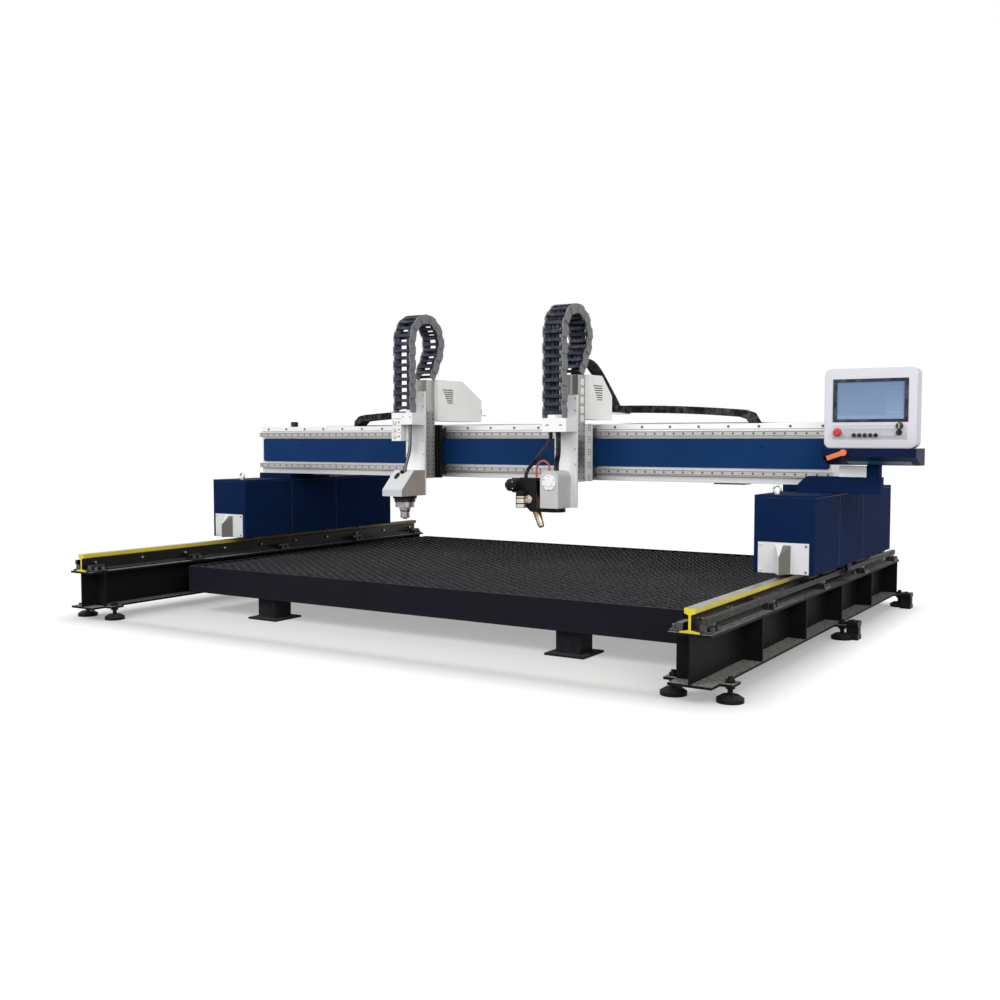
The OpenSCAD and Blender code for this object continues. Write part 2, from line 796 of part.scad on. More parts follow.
// Console: a rounded shell with a recessed screen and bores for its controls
module rounded_face(w, h, r) {
  square([w - 2 * r, h], center = true);
  square([w, h - 2 * r], center = true);
  for (x = [-1, 1], z = [-1, 1]) translate([x * (w / 2 - r), z * (h / 2 - r)]) circle(r = r);
}
console_mid = console_z + console_h / 2;
module console_place(dx, dz) translate([console_x + dx, 0, console_mid + dz]) children();
module console_shell() color([0.84, 0.84, 0.85]) difference() {
  console_place(0, 0) translate([0, console_y1, 0]) rotate([90, 0, 0])
    linear_extrude(console_d) rounded_face(console_w, console_h, console_r);
  console_place(0, 0)
    box([console_wall - console_w / 2, console_w / 2 - console_wall],
        [console_y0 + 2 * console_wall + estop_stem_r, console_y1 - console_wall],
        [console_r - console_h / 2, console_h / 2 - console_r]);
  console_place(0, screen_up)
    box([-screen_w / 2, screen_w / 2], [console_y0 - over, console_y0 + screen_sunk + screen_t],
        [-screen_h / 2, screen_h / 2]);
  console_place(estop_dx, estop_dz)
    bar_y(estop_stem_r + turn_gap, console_y0 - over, console_y0 + 3 * estop_travel);
  for (i = [0:selector_count - 1]) console_place(selector_dx0 + i * selector_pitch, selector_dz)
    bar_y(selector_stem_r + turn_gap, console_y0 - over, console_y0 + selector_t);
  console_place(key_dx, key_dz) bar_y(key_r + turn_gap, console_y0 - over, console_y0 + key_t);
}
module console_screen() color([0.35, 0.45, 0.6]) console_place(0, screen_up)
  box([-screen_w / 2, screen_w / 2],
      [console_y0 + screen_sunk, console_y0 + screen_sunk + screen_t], [-screen_h / 2, screen_h / 2]);

// Blue tray under the console, with the pivot that turns in the post
module console_tray() color([0.04, 0.1, 0.26]) {
  side_plate([
    [console_y0 - tray_front, tray_z + tray_h / 2], [console_y0, tray_z],
    [console_y1, tray_z], [console_y1, tray_z + tray_h], [console_y0 - tray_front, tray_z + tray_h]],
    console_x - console_w / 2 + tray_over, console_x + console_w / 2 + tray_over);
  translate([post_x, pivot_y, 0]) bar_z(pivot_r, tray_z - pivot_h + over, tray_z);
}

// Clamp lever on the tray's front, near its left end
lever_y = console_y0 - tray_front - slide_gap;
module tray_lever() color([0.85, 0.33, 0.16])
  translate([console_x + lever_dx, lever_y, tray_z + tray_h * 3 / 4])
    rotate([90, 0, 0]) linear_extrude(lever_t) {
      circle(r = lever_r);
      rotate(lever_lean) translate([-lever_l, -lever_w / 2]) square([lever_l, lever_w]);
    }
module estop_button() color([0.78, 0.1, 0.08]) console_place(estop_dx, estop_dz) {
  translate([0, console_y0 - estop_travel - slide_gap, 0]) rotate([90, 0, 0]) rotate_extrude()
    polygon([[0, 0], [estop_r, 0], [estop_r, estop_t / 2], [estop_r * 3 / 4, estop_t], [0, estop_t]]);
  bar_y(estop_stem_r, console_y0 - estop_travel - slide_gap, console_y0 + estop_travel);
}
module selector(i) color([0.05, 0.05, 0.05])
  console_place(selector_dx0 + (i - 1) * selector_pitch, selector_dz) {
    bar_y(selector_r, console_y0 - selector_t / 2, console_y0 - slide_gap);
    bar_y(selector_stem_r, console_y0 - selector_t / 2, console_y0 + selector_t / 2);
    box([-selector_grip / 2, selector_grip / 2], [console_y0 - selector_t, console_y0 - selector_t / 2],
        [-selector_r, selector_r]);
  }
module selector_1() selector(1);
module selector_2() selector(2);
module selector_3() selector(3);
module selector_4() selector(4);
module selector_5() selector(5);
module key_switch() color([0.1, 0.1, 0.1]) console_place(key_dx, key_dz) {
  bar_y(key_r, console_y0 - key_t, console_y0 + key_t / 2);
  box([-key_bow_w / 2, key_bow_w / 2], [console_y0 - key_t - key_bow_t, console_y0 - key_t],
      [-key_bow_h / 2, key_bow_h / 2]);
}

// Saddle: four blocks on the guide rails, a plate and two ribs
module saddle(x) translate([x, 0, 0]) color([0.55, 0.55, 0.56]) {
  for (dx = [-1, 1], z = [xrail_z0, xrail_z1])
    translate([dx * (saddle_w - block_w) / 2, 0, z]) difference() {
      box([-block_w / 2, block_w / 2], [saddle_y, beam_y - panel_t - slide_gap],
          [-block_h / 2, block_h / 2]);
      box([-block_w, block_w], [beam_y - xrail_t - slide_gap, beam_y],
          [-xrail_h / 2 - slide_gap, xrail_h / 2 + slide_gap]);
    }
  box([-saddle_w / 2, saddle_w / 2], [rib_y, saddle_y], [beam_z - saddle_drop, beam_top + saddle_drop]);
  for (side = [-1, 1])
    translate([side * (column_w - saddle_rib_t) / 2, 0, 0])
      box([-saddle_rib_t / 2, saddle_rib_t / 2], [column_back, rib_y],
          [beam_z - saddle_drop, beam_top + saddle_drop]);
}
module left_saddle() saddle(left_x);
module right_saddle() saddle(right_x);

// Column: a hollow extrusion with a guide rail on its front
module column(x) translate([x, 0, 0]) color([0.7, 0.69, 0.67]) {
  difference() {
    box([-column_w / 2, column_w / 2], [column_front, column_back], [column_z, column_top]);
    box([column_wall - column_w / 2, column_w / 2 - column_wall],
        [column_front + column_wall, column_back - column_wall],
        [column_z + column_wall, column_top - column_wall]);
  }
  box([-guide_w / 2, guide_w / 2], [column_front - guide_t, column_front], [column_z, column_top]);
}
module left_column() column(left_x);
module right_column() column(right_x);

// Motor housing behind the column, with a sloping back and louvres, and the bar that leads the level chain
flat_chain_y = beam_back + tray_w / 2;
module housing(x, l) color([0.88, 0.88, 0.86]) {
  housing_shell(x, l);
  translate([x, 0, flat_z1 - flat_chain_t / 2 - 2 * slide_gap])
    box([-flat_chain_tab_l / 2, flat_chain_tab_l / 2], [column_back + l, flat_chain_y + flat_chain_w / 2],
        [-flat_chain_tab_t, 0]);
}
module housing_shell(x, l) translate([x, column_back, housing_z]) difference() {
  side_plate([
    [0, 0], [l, 0], [l, housing_h * housing_cut_z_share],
    [l * (1 - housing_cut_y_share), housing_h], [0, housing_h]], -housing_w / 2, housing_w / 2);
  side_plate([
    [housing_wall, housing_wall], [l - housing_wall, housing_wall],
    [l - housing_wall, housing_h * housing_cut_z_share - housing_wall],
    [l * (1 - housing_cut_y_share) - housing_wall, housing_h - housing_wall],
    [housing_wall, housing_h - housing_wall]],
    housing_wall - housing_w / 2, housing_w / 2 - housing_wall);
  for (i = [0:housing_slots - 1])
    box([-housing_w, housing_w],
        [housing_slot_inset + i * housing_slot_l / housing_slots / 2 - over,
         housing_slot_inset + housing_slot_l],
        [housing_h - housing_slot_inset - i * housing_slot_step - housing_slot_h,
         housing_h - housing_slot_inset - i * housing_slot_step]);
}
module left_housing() housing(left_x, left_housing_l);
module right_housing() housing(right_x, right_housing_l);

// A chain link between two pivots in a plane: side plates and two cross bars
module chain_link(a, b, w, t, inner) {
  l = norm(b - a);
  grow = l * chain_plate_share;
  lane = inner ? chain_plate_t + slide_gap : 0;
  half = w / 2 - lane;
  translate([0, a[0], a[1]]) rotate([atan2(b[1] - a[1], b[0] - a[0]), 0, 0]) {
    for (side = [-1, 1])
      translate([side * (half - chain_plate_t / 2), 0, 0])
        box([-chain_plate_t / 2, chain_plate_t / 2], [-grow, l + grow], [-t / 2, t / 2]);
    for (z = [-1, 1])
      translate([0, l / 2, z * (t - chain_bar_t) / 2])
        box([-half + chain_plate_t / 2, half - chain_plate_t / 2],
            [-l * chain_bar_share / 2, l * chain_bar_share / 2], [-chain_bar_t / 2, chain_bar_t / 2]);
  }
}

// Upright chain: up from the bracket, over the bend and down to the column's top
chain_y0 = lift_front - chain_front_y;
chain_arc = PI * chain_r * (180 + chain_back_angle) / 180;
chain_end_l = (chain_top_z - (chain_r + chain_t / 2) * sin(chain_back_angle) - column_top)
  / cos(chain_back_angle) - chain_plate_share * chain_t;
function chain_at(s, up) = s < up ? [chain_y0, chain_top_z - up + s]
  : s < up + chain_arc
    ? let (a = 180 - (s - up) / chain_r * 180 / PI)
      [chain_y0 + chain_r + chain_r * cos(a), chain_top_z + chain_r * sin(a)]
    : let (d = s - up - chain_arc)
      [chain_y0 + chain_r + chain_r * cos(chain_back_angle) - d * sin(chain_back_angle),
       chain_top_z - chain_r * sin(chain_back_angle) - d * cos(chain_back_angle)];
module upright_chain(x, z) color([0.09, 0.09, 0.1]) translate([x, 0, 0]) {
  foot = chain_t * chain_plate_share;
  up = chain_top_z - z - foot;
  step = (up + chain_arc + chain_end_l) / chain_links;
  for (i = [0:chain_links - 1])
    chain_link(chain_at(i * step, up), chain_at((i + 1) * step, up), chain_w, chain_t, i % 2 == 1);
}
module left_z_chain() upright_chain(left_x, left_lift_z);
module right_z_chain() upright_chain(right_x + right_chain_dx, right_lift_z);

// Level chain behind the beam: a sagging top run, a bend and a lower run
flat_z0 = flat_z1 - 2 * flat_chain_r;
flat_bend_r = flat_chain_r - flat_chain_sag / 2;
flat_arc = PI * flat_bend_r;
function flat_at(s, run) = s < run ? [s, flat_z1 - flat_chain_sag * pow(s / run, 2)]
  : s < run + flat_arc
    ? let (a = 90 - (s - run) / flat_bend_r * 180 / PI)
      [run + flat_bend_r * cos(a), flat_z0 + flat_bend_r + flat_bend_r * sin(a)]
    : [2 * run + flat_arc - s, flat_z0];
module level_chain(run, links) {
  step = (run + flat_arc + flat_chain_low) / links;
  rotate(-90) for (i = [0:links - 1])
    chain_link(flat_at(i * step, run), flat_at((i + 1) * step, run),
               flat_chain_w, flat_chain_t, i % 2 == 1);
}
module right_x_chain() color([0.09, 0.09, 0.1])
  translate([right_x, flat_chain_y, 0]) level_chain(flat_chain_run_r, flat_chain_links_r);
module left_x_chain() color([0.09, 0.09, 0.1])
  translate([left_x, flat_chain_y, 0]) mirror([1, 0, 0])
    level_chain(flat_chain_run_l, flat_chain_links_l);

// Lift: guide blocks on the column's rail, a plate and the bracket under the chain
module lift_plate(z, plate_h, block_d) {
  box([-lift_w / 2, lift_w / 2], [lift_front, lift_back], [z - plate_h, z + plate_up]);
  for (dz = [guide_block_drop, guide_block_drop - plate_up])
    difference() {
      box([-guide_block_w / 2, guide_block_w / 2], [lift_back, column_front - slide_gap],
          [z - dz - guide_block_h / 2, z - dz + guide_block_h / 2]);
      box([-guide_w / 2 - slide_gap, guide_w / 2 + slide_gap],
          [column_front - guide_t - slide_gap, column_front],
          [z - dz - guide_block_h, z - dz + guide_block_h]);
    }
  box([-bracket_w / 2, bracket_w / 2], [lift_front - bracket_d, lift_front], [z - ledge_t, z]);
  box([-bracket_w / 2, bracket_w / 2], [lift_front - block_d, lift_front], [z - bracket_h, z]);
}
left_torch_y = lift_front - torch_y + hood_top_d / 2;
module left_lift() translate([left_x, 0, 0]) color([0.86, 0.86, 0.87]) {
  lift_plate(left_lift_z, left_plate_h, ledge_block_d);
  box([-bracket_w / 2, valve_w - bracket_w / 2],
      [lift_front - bracket_d, lift_front - bracket_d + valve_d],
      [left_lift_z - ledge_t - valve_h, left_lift_z]);
  difference() {
    box([-torch_d / 2 - torch_hold_wall, torch_d / 2 + torch_hold_wall],
        [left_torch_y - torch_d / 2 - torch_hold_wall, lift_front],
        [left_lift_z - torch_hold_drop - torch_hold_h, left_lift_z - torch_hold_drop]);
    translate([0, left_torch_y, left_lift_z - torch_hold_drop - torch_hold_h])
      bar_z(torch_d / 2 + turn_gap, -over, torch_hold_h + over);
  }
}

// Hood over the left torch: a sheet box that flares towards the front
hood_z1 = left_lift_z - hood_top;
hood_z0 = hood_z1 - hood_h;
function hood_side(t) = [
  [lift_front - t, hood_z0 - (t == 0 ? 0 : over)],
  [lift_front - hood_d + t, hood_z0 - (t == 0 ? 0 : over)],
  [lift_front - hood_d + t, hood_z0 + hood_skirt],
  [lift_front - hood_top_d + t, hood_z1 - t], [lift_front - t, hood_z1 - t]];
module left_hood() translate([left_x, 0, 0]) color([0.84, 0.84, 0.85]) difference() {
  side_plate(hood_side(0), -hood_w / 2, hood_w / 2);
  side_plate(hood_side(hood_wall), hood_wall - hood_w / 2, hood_w / 2 - hood_wall);
  translate([0, left_torch_y, hood_z1]) bar_z(torch_d / 2 + hood_wall, -hood_h / 2, hood_h / 2);
  box([-torch_d / 2 - torch_hold_wall - over, torch_d / 2 + torch_hold_wall + over],
      [lift_front - hood_wall - over, lift_front + over],
      [left_lift_z - torch_hold_drop - torch_hold_h - over, left_lift_z - torch_hold_drop + over]);
}

// Left torch: body, collar and ring just below the hood, nose and tip
collar_z = -hood_top - hood_h - collar_gap;
ring_z = collar_z - collar_h;
nose_z = ring_z - ring_h;
module left_torch() translate([left_x, left_torch_y, left_lift_z]) color([0.3, 0.3, 0.32])
  rotate_extrude() polygon([
    [0, -torch_top_drop], [torch_d / 2, -torch_top_drop], [torch_d / 2, collar_z],
    [collar_d / 2, collar_z], [collar_d / 2, ring_z], [ring_d / 2, ring_z], [ring_d / 2, nose_z],
    [nose_d / 2, nose_z], [nose_d / 2, nose_z - nose_h / 2], [shield_d / 2, nose_z - nose_h],
    [tip_d / 2, -torch_tip_drop], [0, -torch_tip_drop]
  ]);

// A hose swept along its points, with rings of equal sides
hose_sides = 10;
hose_steps = 3;
function spline(p, i, t) =
  let (n = len(p) - 1, a = p[max(i - 1, 0)], b = p[i], c = p[min(i + 1, n)], d = p[min(i + 2, n)])
  0.5 * (2 * b + (c - a) * t + (2 * a - 5 * b + 4 * c - d) * t * t
         + (3 * b - a - 3 * c + d) * t * t * t);
function smooth(p) = concat(
  [for (i = [0:len(p) - 2], k = [0:hose_steps - 1]) spline(p, i, k / hose_steps)], [p[len(p) - 1]]);
function unit(v) = v / norm(v);
module hose(route, d, side) {
  path = smooth(route);
  n = len(path);
  last = len(route) - 1;
  rings = [for (i = [0:n - 1])
    let (t = i == 0 ? unit(route[1] - route[0])
           : i == n - 1 ? unit(route[last] - route[last - 1]) : unit(path[i + 1] - path[i - 1]),
         u = unit(cross(t, side)), v = cross(t, u))
    [for (k = [0:hose_sides - 1])
      path[i] + d / 2 * (cos(360 * k / hose_sides) * u + sin(360 * k / hose_sides) * v)]];
  points = concat([for (ring = rings, p = ring) p], [path[0], path[n - 1]]);
  ends = n * hose_sides;
  faces = concat(
    [for (i = [0:n - 2], k = [0:hose_sides - 1])
      let (a = i * hose_sides + k, b = i * hose_sides + (k + 1) % hose_sides)
      each [[a, b, a + hose_sides], [b, b + hose_sides, a + hose_sides]]],
    [for (k = [0:hose_sides - 1]) [ends, (k + 1) % hose_sides, k]],
    [for (k = [0:hose_sides - 1]) let (a = (n - 1) * hose_sides)
      [ends + 1, a + k, a + (k + 1) % hose_sides]]);
  polyhedron(points, [for (f = faces) [f[2], f[1], f[0]]]);
}
// Left torch hoses, from the ledge down to the torch
left_hose_d = 24;
left_hose_route = [for (p = [
  [44, -2, -ledge_t], [44, -2, -40], [46, -5, -100], [48, -8, -160], [46, -8, -210],
  [38, -6, -255], [22, -3, -298], [7, 0, -336], [0, 0, -370], [0, 0, -torch_top_drop]
]) [left_x, left_torch_y, left_lift_z] + p];
module left_hoses() color([0.06, 0.06, 0.07]) hose(left_hose_route, left_hose_d, [1, 0, 0]);

// Cable duct from the right housing's top to its level chain
duct_d = 30;
duct_top = [right_x, column_back, housing_z + housing_h];
duct_end = [right_x, flat_chain_y, flat_z1 - flat_chain_t / 2 - 2 * slide_gap];
duct_route = concat(
  [for (p = [[-30, 43, 0], [-30, 43, 25], [-30, 51, 61], [-30, 78, 89], [-30, 123, 99],
             [-30, 183, 91], [-30, 243, 67], [-30, 303, 29]]) duct_top + p],
  [for (p = [[-30, -222, 200], [-30, -162, 152], [-30, -102, 104], [-30, -50, 64],
             [-30, -18, 32], [-30, -8, 18], [-30, -8, 0]]) duct_end + p]);
module right_duct() color([0.06, 0.06, 0.07]) hose(duct_route, duct_d, [1, 0, 0]);

// Right lift
module right_lift() translate([right_x, 0, 0]) color([0.86, 0.86, 0.87])
  lift_plate(right_lift_z, right_plate_h, bracket_d);

// Bevel gearbox: a case with a rounded top and a bore for the spindle
module bevel_gearbox() color([0.84, 0.84, 0.84]) translate([bevel_x, bevel_axis_y, 0]) difference() {
  translate([0, gear_case_d / 2, 0]) rotate([90, 0, 0]) linear_extrude(gear_case_d) {
    translate([-gear_case_w / 2, gear_case_z0]) square([gear_case_w, gear_case_h - gear_case_r]);
    translate([gear_case_r - gear_case_w / 2, gear_case_z0])
      square([gear_case_w - 2 * gear_case_r, gear_case_h]);
    for (side = [-1, 1])
      translate([side * (gear_case_w / 2 - gear_case_r), gear_case_z1 - gear_case_r])
        circle(r = gear_case_r);
  }
  bar_z(spindle_r + turn_gap, gear_case_z0 - over, gear_case_z0 + spindle_h + over);
}

// Bevel arm: a hub on a spindle, two cheeks, a plate across their tops, the tilt motor and a height sensor
tilt_motor_x = tilt_x - tilt_arm;
tilt_motor_z = tilt_z + tilt_rise;
cheek_x1 = bevel_x - case_clear;
cheek_z1 = tilt_z + cheek_top;
cheek_outline = [
  [bevel_x + hub_d / 6, hub_z], [bevel_x + hub_d / 6, hub_z + hub_t],
  [cheek_x1, hub_z + hub_t], [cheek_x1, cheek_z1],
  [tilt_motor_x - cheek_w / 2, cheek_z1], [tilt_motor_x - cheek_w / 2, tilt_z + cheek_step],
  [tilt_x - cheek_w / 2, tilt_z + cheek_step], [tilt_x - cheek_w / 2, tilt_z - cheek_w / 2],
  [tilt_x + cheek_w / 4, hub_z]
];
cheek_out = cheek_gap / 2 + cheek_t;
module bevel_arm() color([0.07, 0.07, 0.08]) translate([0, bevel_axis_y, 0]) {
  translate([bevel_x, 0, 0]) {
    bar_z(hub_d / 2, hub_z, hub_z + hub_t);
    bar_z(spindle_r, hub_z, hub_z + hub_t + spindle_h);
  }
  difference() {
    for (side = [-1, 1]) translate([0, side * (cheek_gap + cheek_t) / 2, 0])
      face_plate(cheek_outline, -cheek_t / 2, cheek_t / 2);
    translate([tilt_x, 0, tilt_z]) bar_y(trunnion_r + turn_gap, -cheek_out - over, cheek_out + over);
  }
  box([cheek_x1 - bridge_l, cheek_x1], [-cheek_gap / 2, cheek_gap / 2], [cheek_z1 - bridge_t, cheek_z1]);
  translate([tilt_motor_x, 0, tilt_motor_z])
    bar_y(tilt_motor_d / 2, -cheek_out - tilt_motor_l, -cheek_out);
  translate([tilt_x + sensor_dx, -cheek_out - sensor_d / 2 + cheek_t, 0])
    bar_z(sensor_d / 2, tilt_z + cheek_step + cheek_t - sensor_l, tilt_z + cheek_step + cheek_t);
}

// Bevel torch in its clamp ring, whose trunnions turn in the cheeks
module bevel_torch() translate([tilt_x, bevel_axis_y, tilt_z]) rotate([0, -bevel_lean, 0]) {
  color([0.72, 0.55, 0.3]) rotate_extrude() polygon([
    [0, bevel_top], [bevel_cap_d / 2, bevel_top], [torch_d / 2, bevel_top - bevel_cap_d / 2],
    [torch_d / 2, -clamp_ring_h], [shield_d / 2, -clamp_ring_h - shield_h / 4],
    [shield_d / 2 - shield_h / 8, shield_h / 4 - bevel_tip], [tip_d / 2, -bevel_tip], [0, -bevel_tip]
  ]);
  color([0.08, 0.08, 0.09]) {
    difference() {
      union() {
        bar_z(torch_d / 2 + clamp_ring_wall, -clamp_ring_h / 2, clamp_ring_h / 2);
        bar_y(trunnion_r, -cheek_out, cheek_out);
      }
      bar_z(torch_d / 2 + turn_gap, -clamp_ring_h, clamp_ring_h);
    }
  }
}

// Torch lead from the bracket to the top of the bevel arm
lead_d = 22;
lead_start = [bevel_x, bevel_axis_y, right_lift_z - bracket_h];
lead_end = [tilt_x, bevel_axis_y, cheek_z1 + slide_gap];
lead_route = concat(
  [for (p = [[-32, 0, 0], [-32, 0, -14], [-34, 0, -34], [-41, 0, -54], [-53, 0, -73],
             [-74, 0, -97], [-96, 0, -121], [-118, 0, -145]]) lead_start + p],
  [for (p = [[15, 0, 105], [-7, 0, 81], [-28, 0, 57], [-41, 0, 38], [-48, 0, 16], [-48, 0, 0]])
    lead_end + p]);
module torch_lead() color([0.06, 0.06, 0.07]) hose(lead_route, lead_d, [0, 1, 0]);

// Cable from the bracket to the gearbox's top
cable_d = 34;
cable_start = [right_x, bevel_axis_y, right_lift_z - bracket_h];
cable_end = [bevel_x, bevel_axis_y, gear_case_z1];
cable_route = concat(
  [for (p = [[0, -17, 0], [0, -17, -25], [6, -27, -70], [12, -39, -120]]) cable_start + p],
  [for (p = [[31, -37, 73], [19, -25, 46], [13, -17, 24], [13, -17, 0]]) cable_end + p]);
module gearbox_cable() color([0.06, 0.06, 0.07]) hose(cable_route, cable_d, [1, 0, 0]);

// Orange hose from the gearbox's top over to the top of the bevel arm
bevel_hose_d = 12;
bevel_hose_end = [cheek_x1, bevel_axis_y, cheek_z1 + slide_gap];
bevel_hose_route = concat(
  [for (p = [[-13, -47, 0], [-13, -47, 8], [-17, -46, 26], [-31, -44, 46], [-54, -41, 56], [-76, -38, 54]])
    cable_end + p],
  [for (p = [[6, -32, 84], [-6, -29, 60], [-10, -27, 36], [-10, -26, 14], [-10, -26, 0]])
    bevel_hose_end + p]);
module bevel_hose() color([0.75, 0.3, 0.12]) hose(bevel_hose_route, bevel_hose_d, [0, 1, 0]);

track_beams();
rails();
rail_clamps();
racks();
levelling_feet();
table_frame();
slats();
table_legs();
carriage_shells();
sweeper_plates();
beam_seats();
lifting_eyes();
cross_beam();
front_panel();
x_rails();
chain_tray();
wheel_axles();
drive_motors();
beam_stops();
console_arm();
junction_box();
wheel_front_left();
wheel_front_right();
wheel_rear_left();
wheel_rear_right();
pinion_left();
pinion_right();
console_shell();
console_screen();
console_tray();
tray_lever();
estop_button();
selector_1();
selector_2();
selector_3();
selector_4();
selector_5();
key_switch();
left_saddle();
left_column();
left_housing();
left_x_chain();
left_z_chain();
left_lift();
left_hood();
left_torch();
left_hoses();
right_saddle();
right_column();
right_housing();
right_x_chain();
right_z_chain();
right_duct();
right_lift();
bevel_gearbox();
bevel_arm();
bevel_torch();
torch_lead();
gearbox_cable();
bevel_hose();
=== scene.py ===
import math

import bmesh
import bpy
from mathutils import Matrix, Vector


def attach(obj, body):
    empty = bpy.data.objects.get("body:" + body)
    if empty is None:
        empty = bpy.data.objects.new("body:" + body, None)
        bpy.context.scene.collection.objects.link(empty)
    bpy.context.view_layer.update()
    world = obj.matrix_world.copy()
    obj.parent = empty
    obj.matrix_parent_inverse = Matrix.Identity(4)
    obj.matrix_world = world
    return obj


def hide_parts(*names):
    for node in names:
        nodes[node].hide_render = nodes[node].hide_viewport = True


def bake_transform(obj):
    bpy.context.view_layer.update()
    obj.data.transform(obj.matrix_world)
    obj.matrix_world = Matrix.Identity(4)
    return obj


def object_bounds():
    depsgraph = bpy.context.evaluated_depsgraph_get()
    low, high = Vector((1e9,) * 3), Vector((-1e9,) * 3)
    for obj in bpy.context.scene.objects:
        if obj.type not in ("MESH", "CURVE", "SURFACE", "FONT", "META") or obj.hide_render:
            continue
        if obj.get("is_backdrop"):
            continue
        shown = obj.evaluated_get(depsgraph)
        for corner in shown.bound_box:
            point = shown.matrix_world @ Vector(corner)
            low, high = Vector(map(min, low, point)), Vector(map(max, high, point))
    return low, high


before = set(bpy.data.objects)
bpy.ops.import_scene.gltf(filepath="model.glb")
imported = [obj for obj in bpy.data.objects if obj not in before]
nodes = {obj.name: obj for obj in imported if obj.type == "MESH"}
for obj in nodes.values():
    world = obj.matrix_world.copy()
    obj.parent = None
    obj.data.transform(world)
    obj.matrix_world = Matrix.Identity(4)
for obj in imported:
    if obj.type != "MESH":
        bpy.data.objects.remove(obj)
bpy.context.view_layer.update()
scene = bpy.context.scene
scene.view_settings.view_transform = "Standard"
print("frame loaded:", len(nodes), "nodes")

# camera, fitted to the photograph
cameraSettings = {"place": (3.768, -6.162, 1.119), "turn": (86.8, 0, 32.43), "lens": 39.32, "sensor": 36}
cameraData = bpy.data.cameras.new("camera")
cameraData.lens = cameraSettings["lens"]
cameraData.sensor_width = cameraSettings["sensor"]
camera = bpy.data.objects.new("camera", cameraData)
camera.location = cameraSettings["place"]
camera.rotation_euler = [math.radians(a) for a in cameraSettings["turn"]]
scene.collection.objects.link(camera)
scene.camera = camera
print("camera set")


# shader node groups
def newGroup(name, inputs, outputs):
    tree = bpy.data.node_groups.new(name, "ShaderNodeTree")
    for label, kind, value in inputs:
        socket = tree.interface.new_socket(label, in_out="INPUT", socket_type="NodeSocket" + kind)
        socket.default_value = value
    for label, kind in outputs:
        tree.interface.new_socket(label, in_out="OUTPUT", socket_type="NodeSocket" + kind)
    return tree, tree.nodes.new("NodeGroupInput").outputs, tree.nodes.new("NodeGroupOutput").inputs


def add(tree, kind, **values):
    node = tree.nodes.new("ShaderNode" + kind)
    for key, value in values.items():
        setattr(node, key, value)
    return node


def feed(tree, node, **sockets):
    # i0, i1 and so on are socket numbers, any other key is a socket's name
    for key, value in sockets.items():
        target = node.inputs[int(key[1:])] if key[0] == "i" and key[1:].isdigit() else node.inputs[key]
        if isinstance(value, bpy.types.NodeSocket):
            tree.links.new(value, target)
        else:
            target.default_value = value
    return node


def maths(tree, operation, a, b=0.0, clamp=False):
    node = add(tree, "Math", operation=operation, use_clamp=clamp)
    return feed(tree, node, i0=a, i1=b).outputs[0]


def noise(tree, vector, scale, detail=4.0, rough=0.55):
    node = add(tree, "TexNoise")
    return feed(tree, node, Vector=vector, Scale=scale, Detail=detail, Roughness=rough).outputs["Fac"]


def spread(tree, value, low, high, toLow=0.0, toHigh=1.0):
    node = add(tree, "MapRange")
    return feed(tree, node, i0=value, i1=low, i2=high, i3=toLow, i4=toHigh).outputs[0]


def mixColour(tree, share, a, b):
    node = add(tree, "Mix", data_type="RGBA")
    return feed(tree, node, i0=share, i6=a, i7=b).outputs[2]


def objectPoint(tree):
    return add(tree, "TexCoord").outputs["Object"]


def objectAxes(tree):
    return feed(tree, add(tree, "SeparateXYZ"), Vector=objectPoint(tree)).outputs


def upFacing(tree):
    parts = feed(tree, add(tree, "SeparateXYZ"), Vector=add(tree, "NewGeometry").outputs["Normal"])
    return parts.outputs[2]


def makePaintFilm():
    tree, given, out = newGroup(
        "paintFilm",
        [("Colour", "Color", (0.5, 0.5, 0.5, 1)), ("Gloss", "Float", 0.35), ("Dust", "Float", 0.1),
         ("Mottle", "Float", 0.2)],
        [("Colour", "Color"), ("Roughness", "Float"), ("Height", "Float")],
    )
    point = objectPoint(tree)
    broad = noise(tree, point, 3.2, 5.0)
    fine = noise(tree, point, 60.0, 3.0)
    dark = mixColour(tree, 0.72, given["Colour"], (0, 0, 0, 1))
    patch = maths(tree, "MULTIPLY", spread(tree, broad, 0.42, 0.72), given["Mottle"])
    tone = mixColour(tree, patch, given["Colour"], dark)
    # up-facing surfaces are mixed towards a pale grey: settled dust, and also painted light that makes the tops lighter
    topShare = maths(tree, "MULTIPLY", spread(tree, upFacing(tree), 0.35, 1.0), spread(tree, fine, 0.2, 0.6))
    dust = maths(tree, "MULTIPLY", topShare, given["Dust"], True)
    tree.links.new(mixColour(tree, dust, tone, (0.33, 0.325, 0.295, 1)), out["Colour"])
    gloss = maths(tree, "ADD", given["Gloss"], maths(tree, "MULTIPLY", maths(tree, "SUBTRACT", fine, 0.5), 0.14))
    tree.links.new(maths(tree, "ADD", gloss, maths(tree, "MULTIPLY", dust, 0.5), True), out["Roughness"])
    tree.links.new(noise(tree, point, 520.0, 2.0), out["Height"])
    return tree


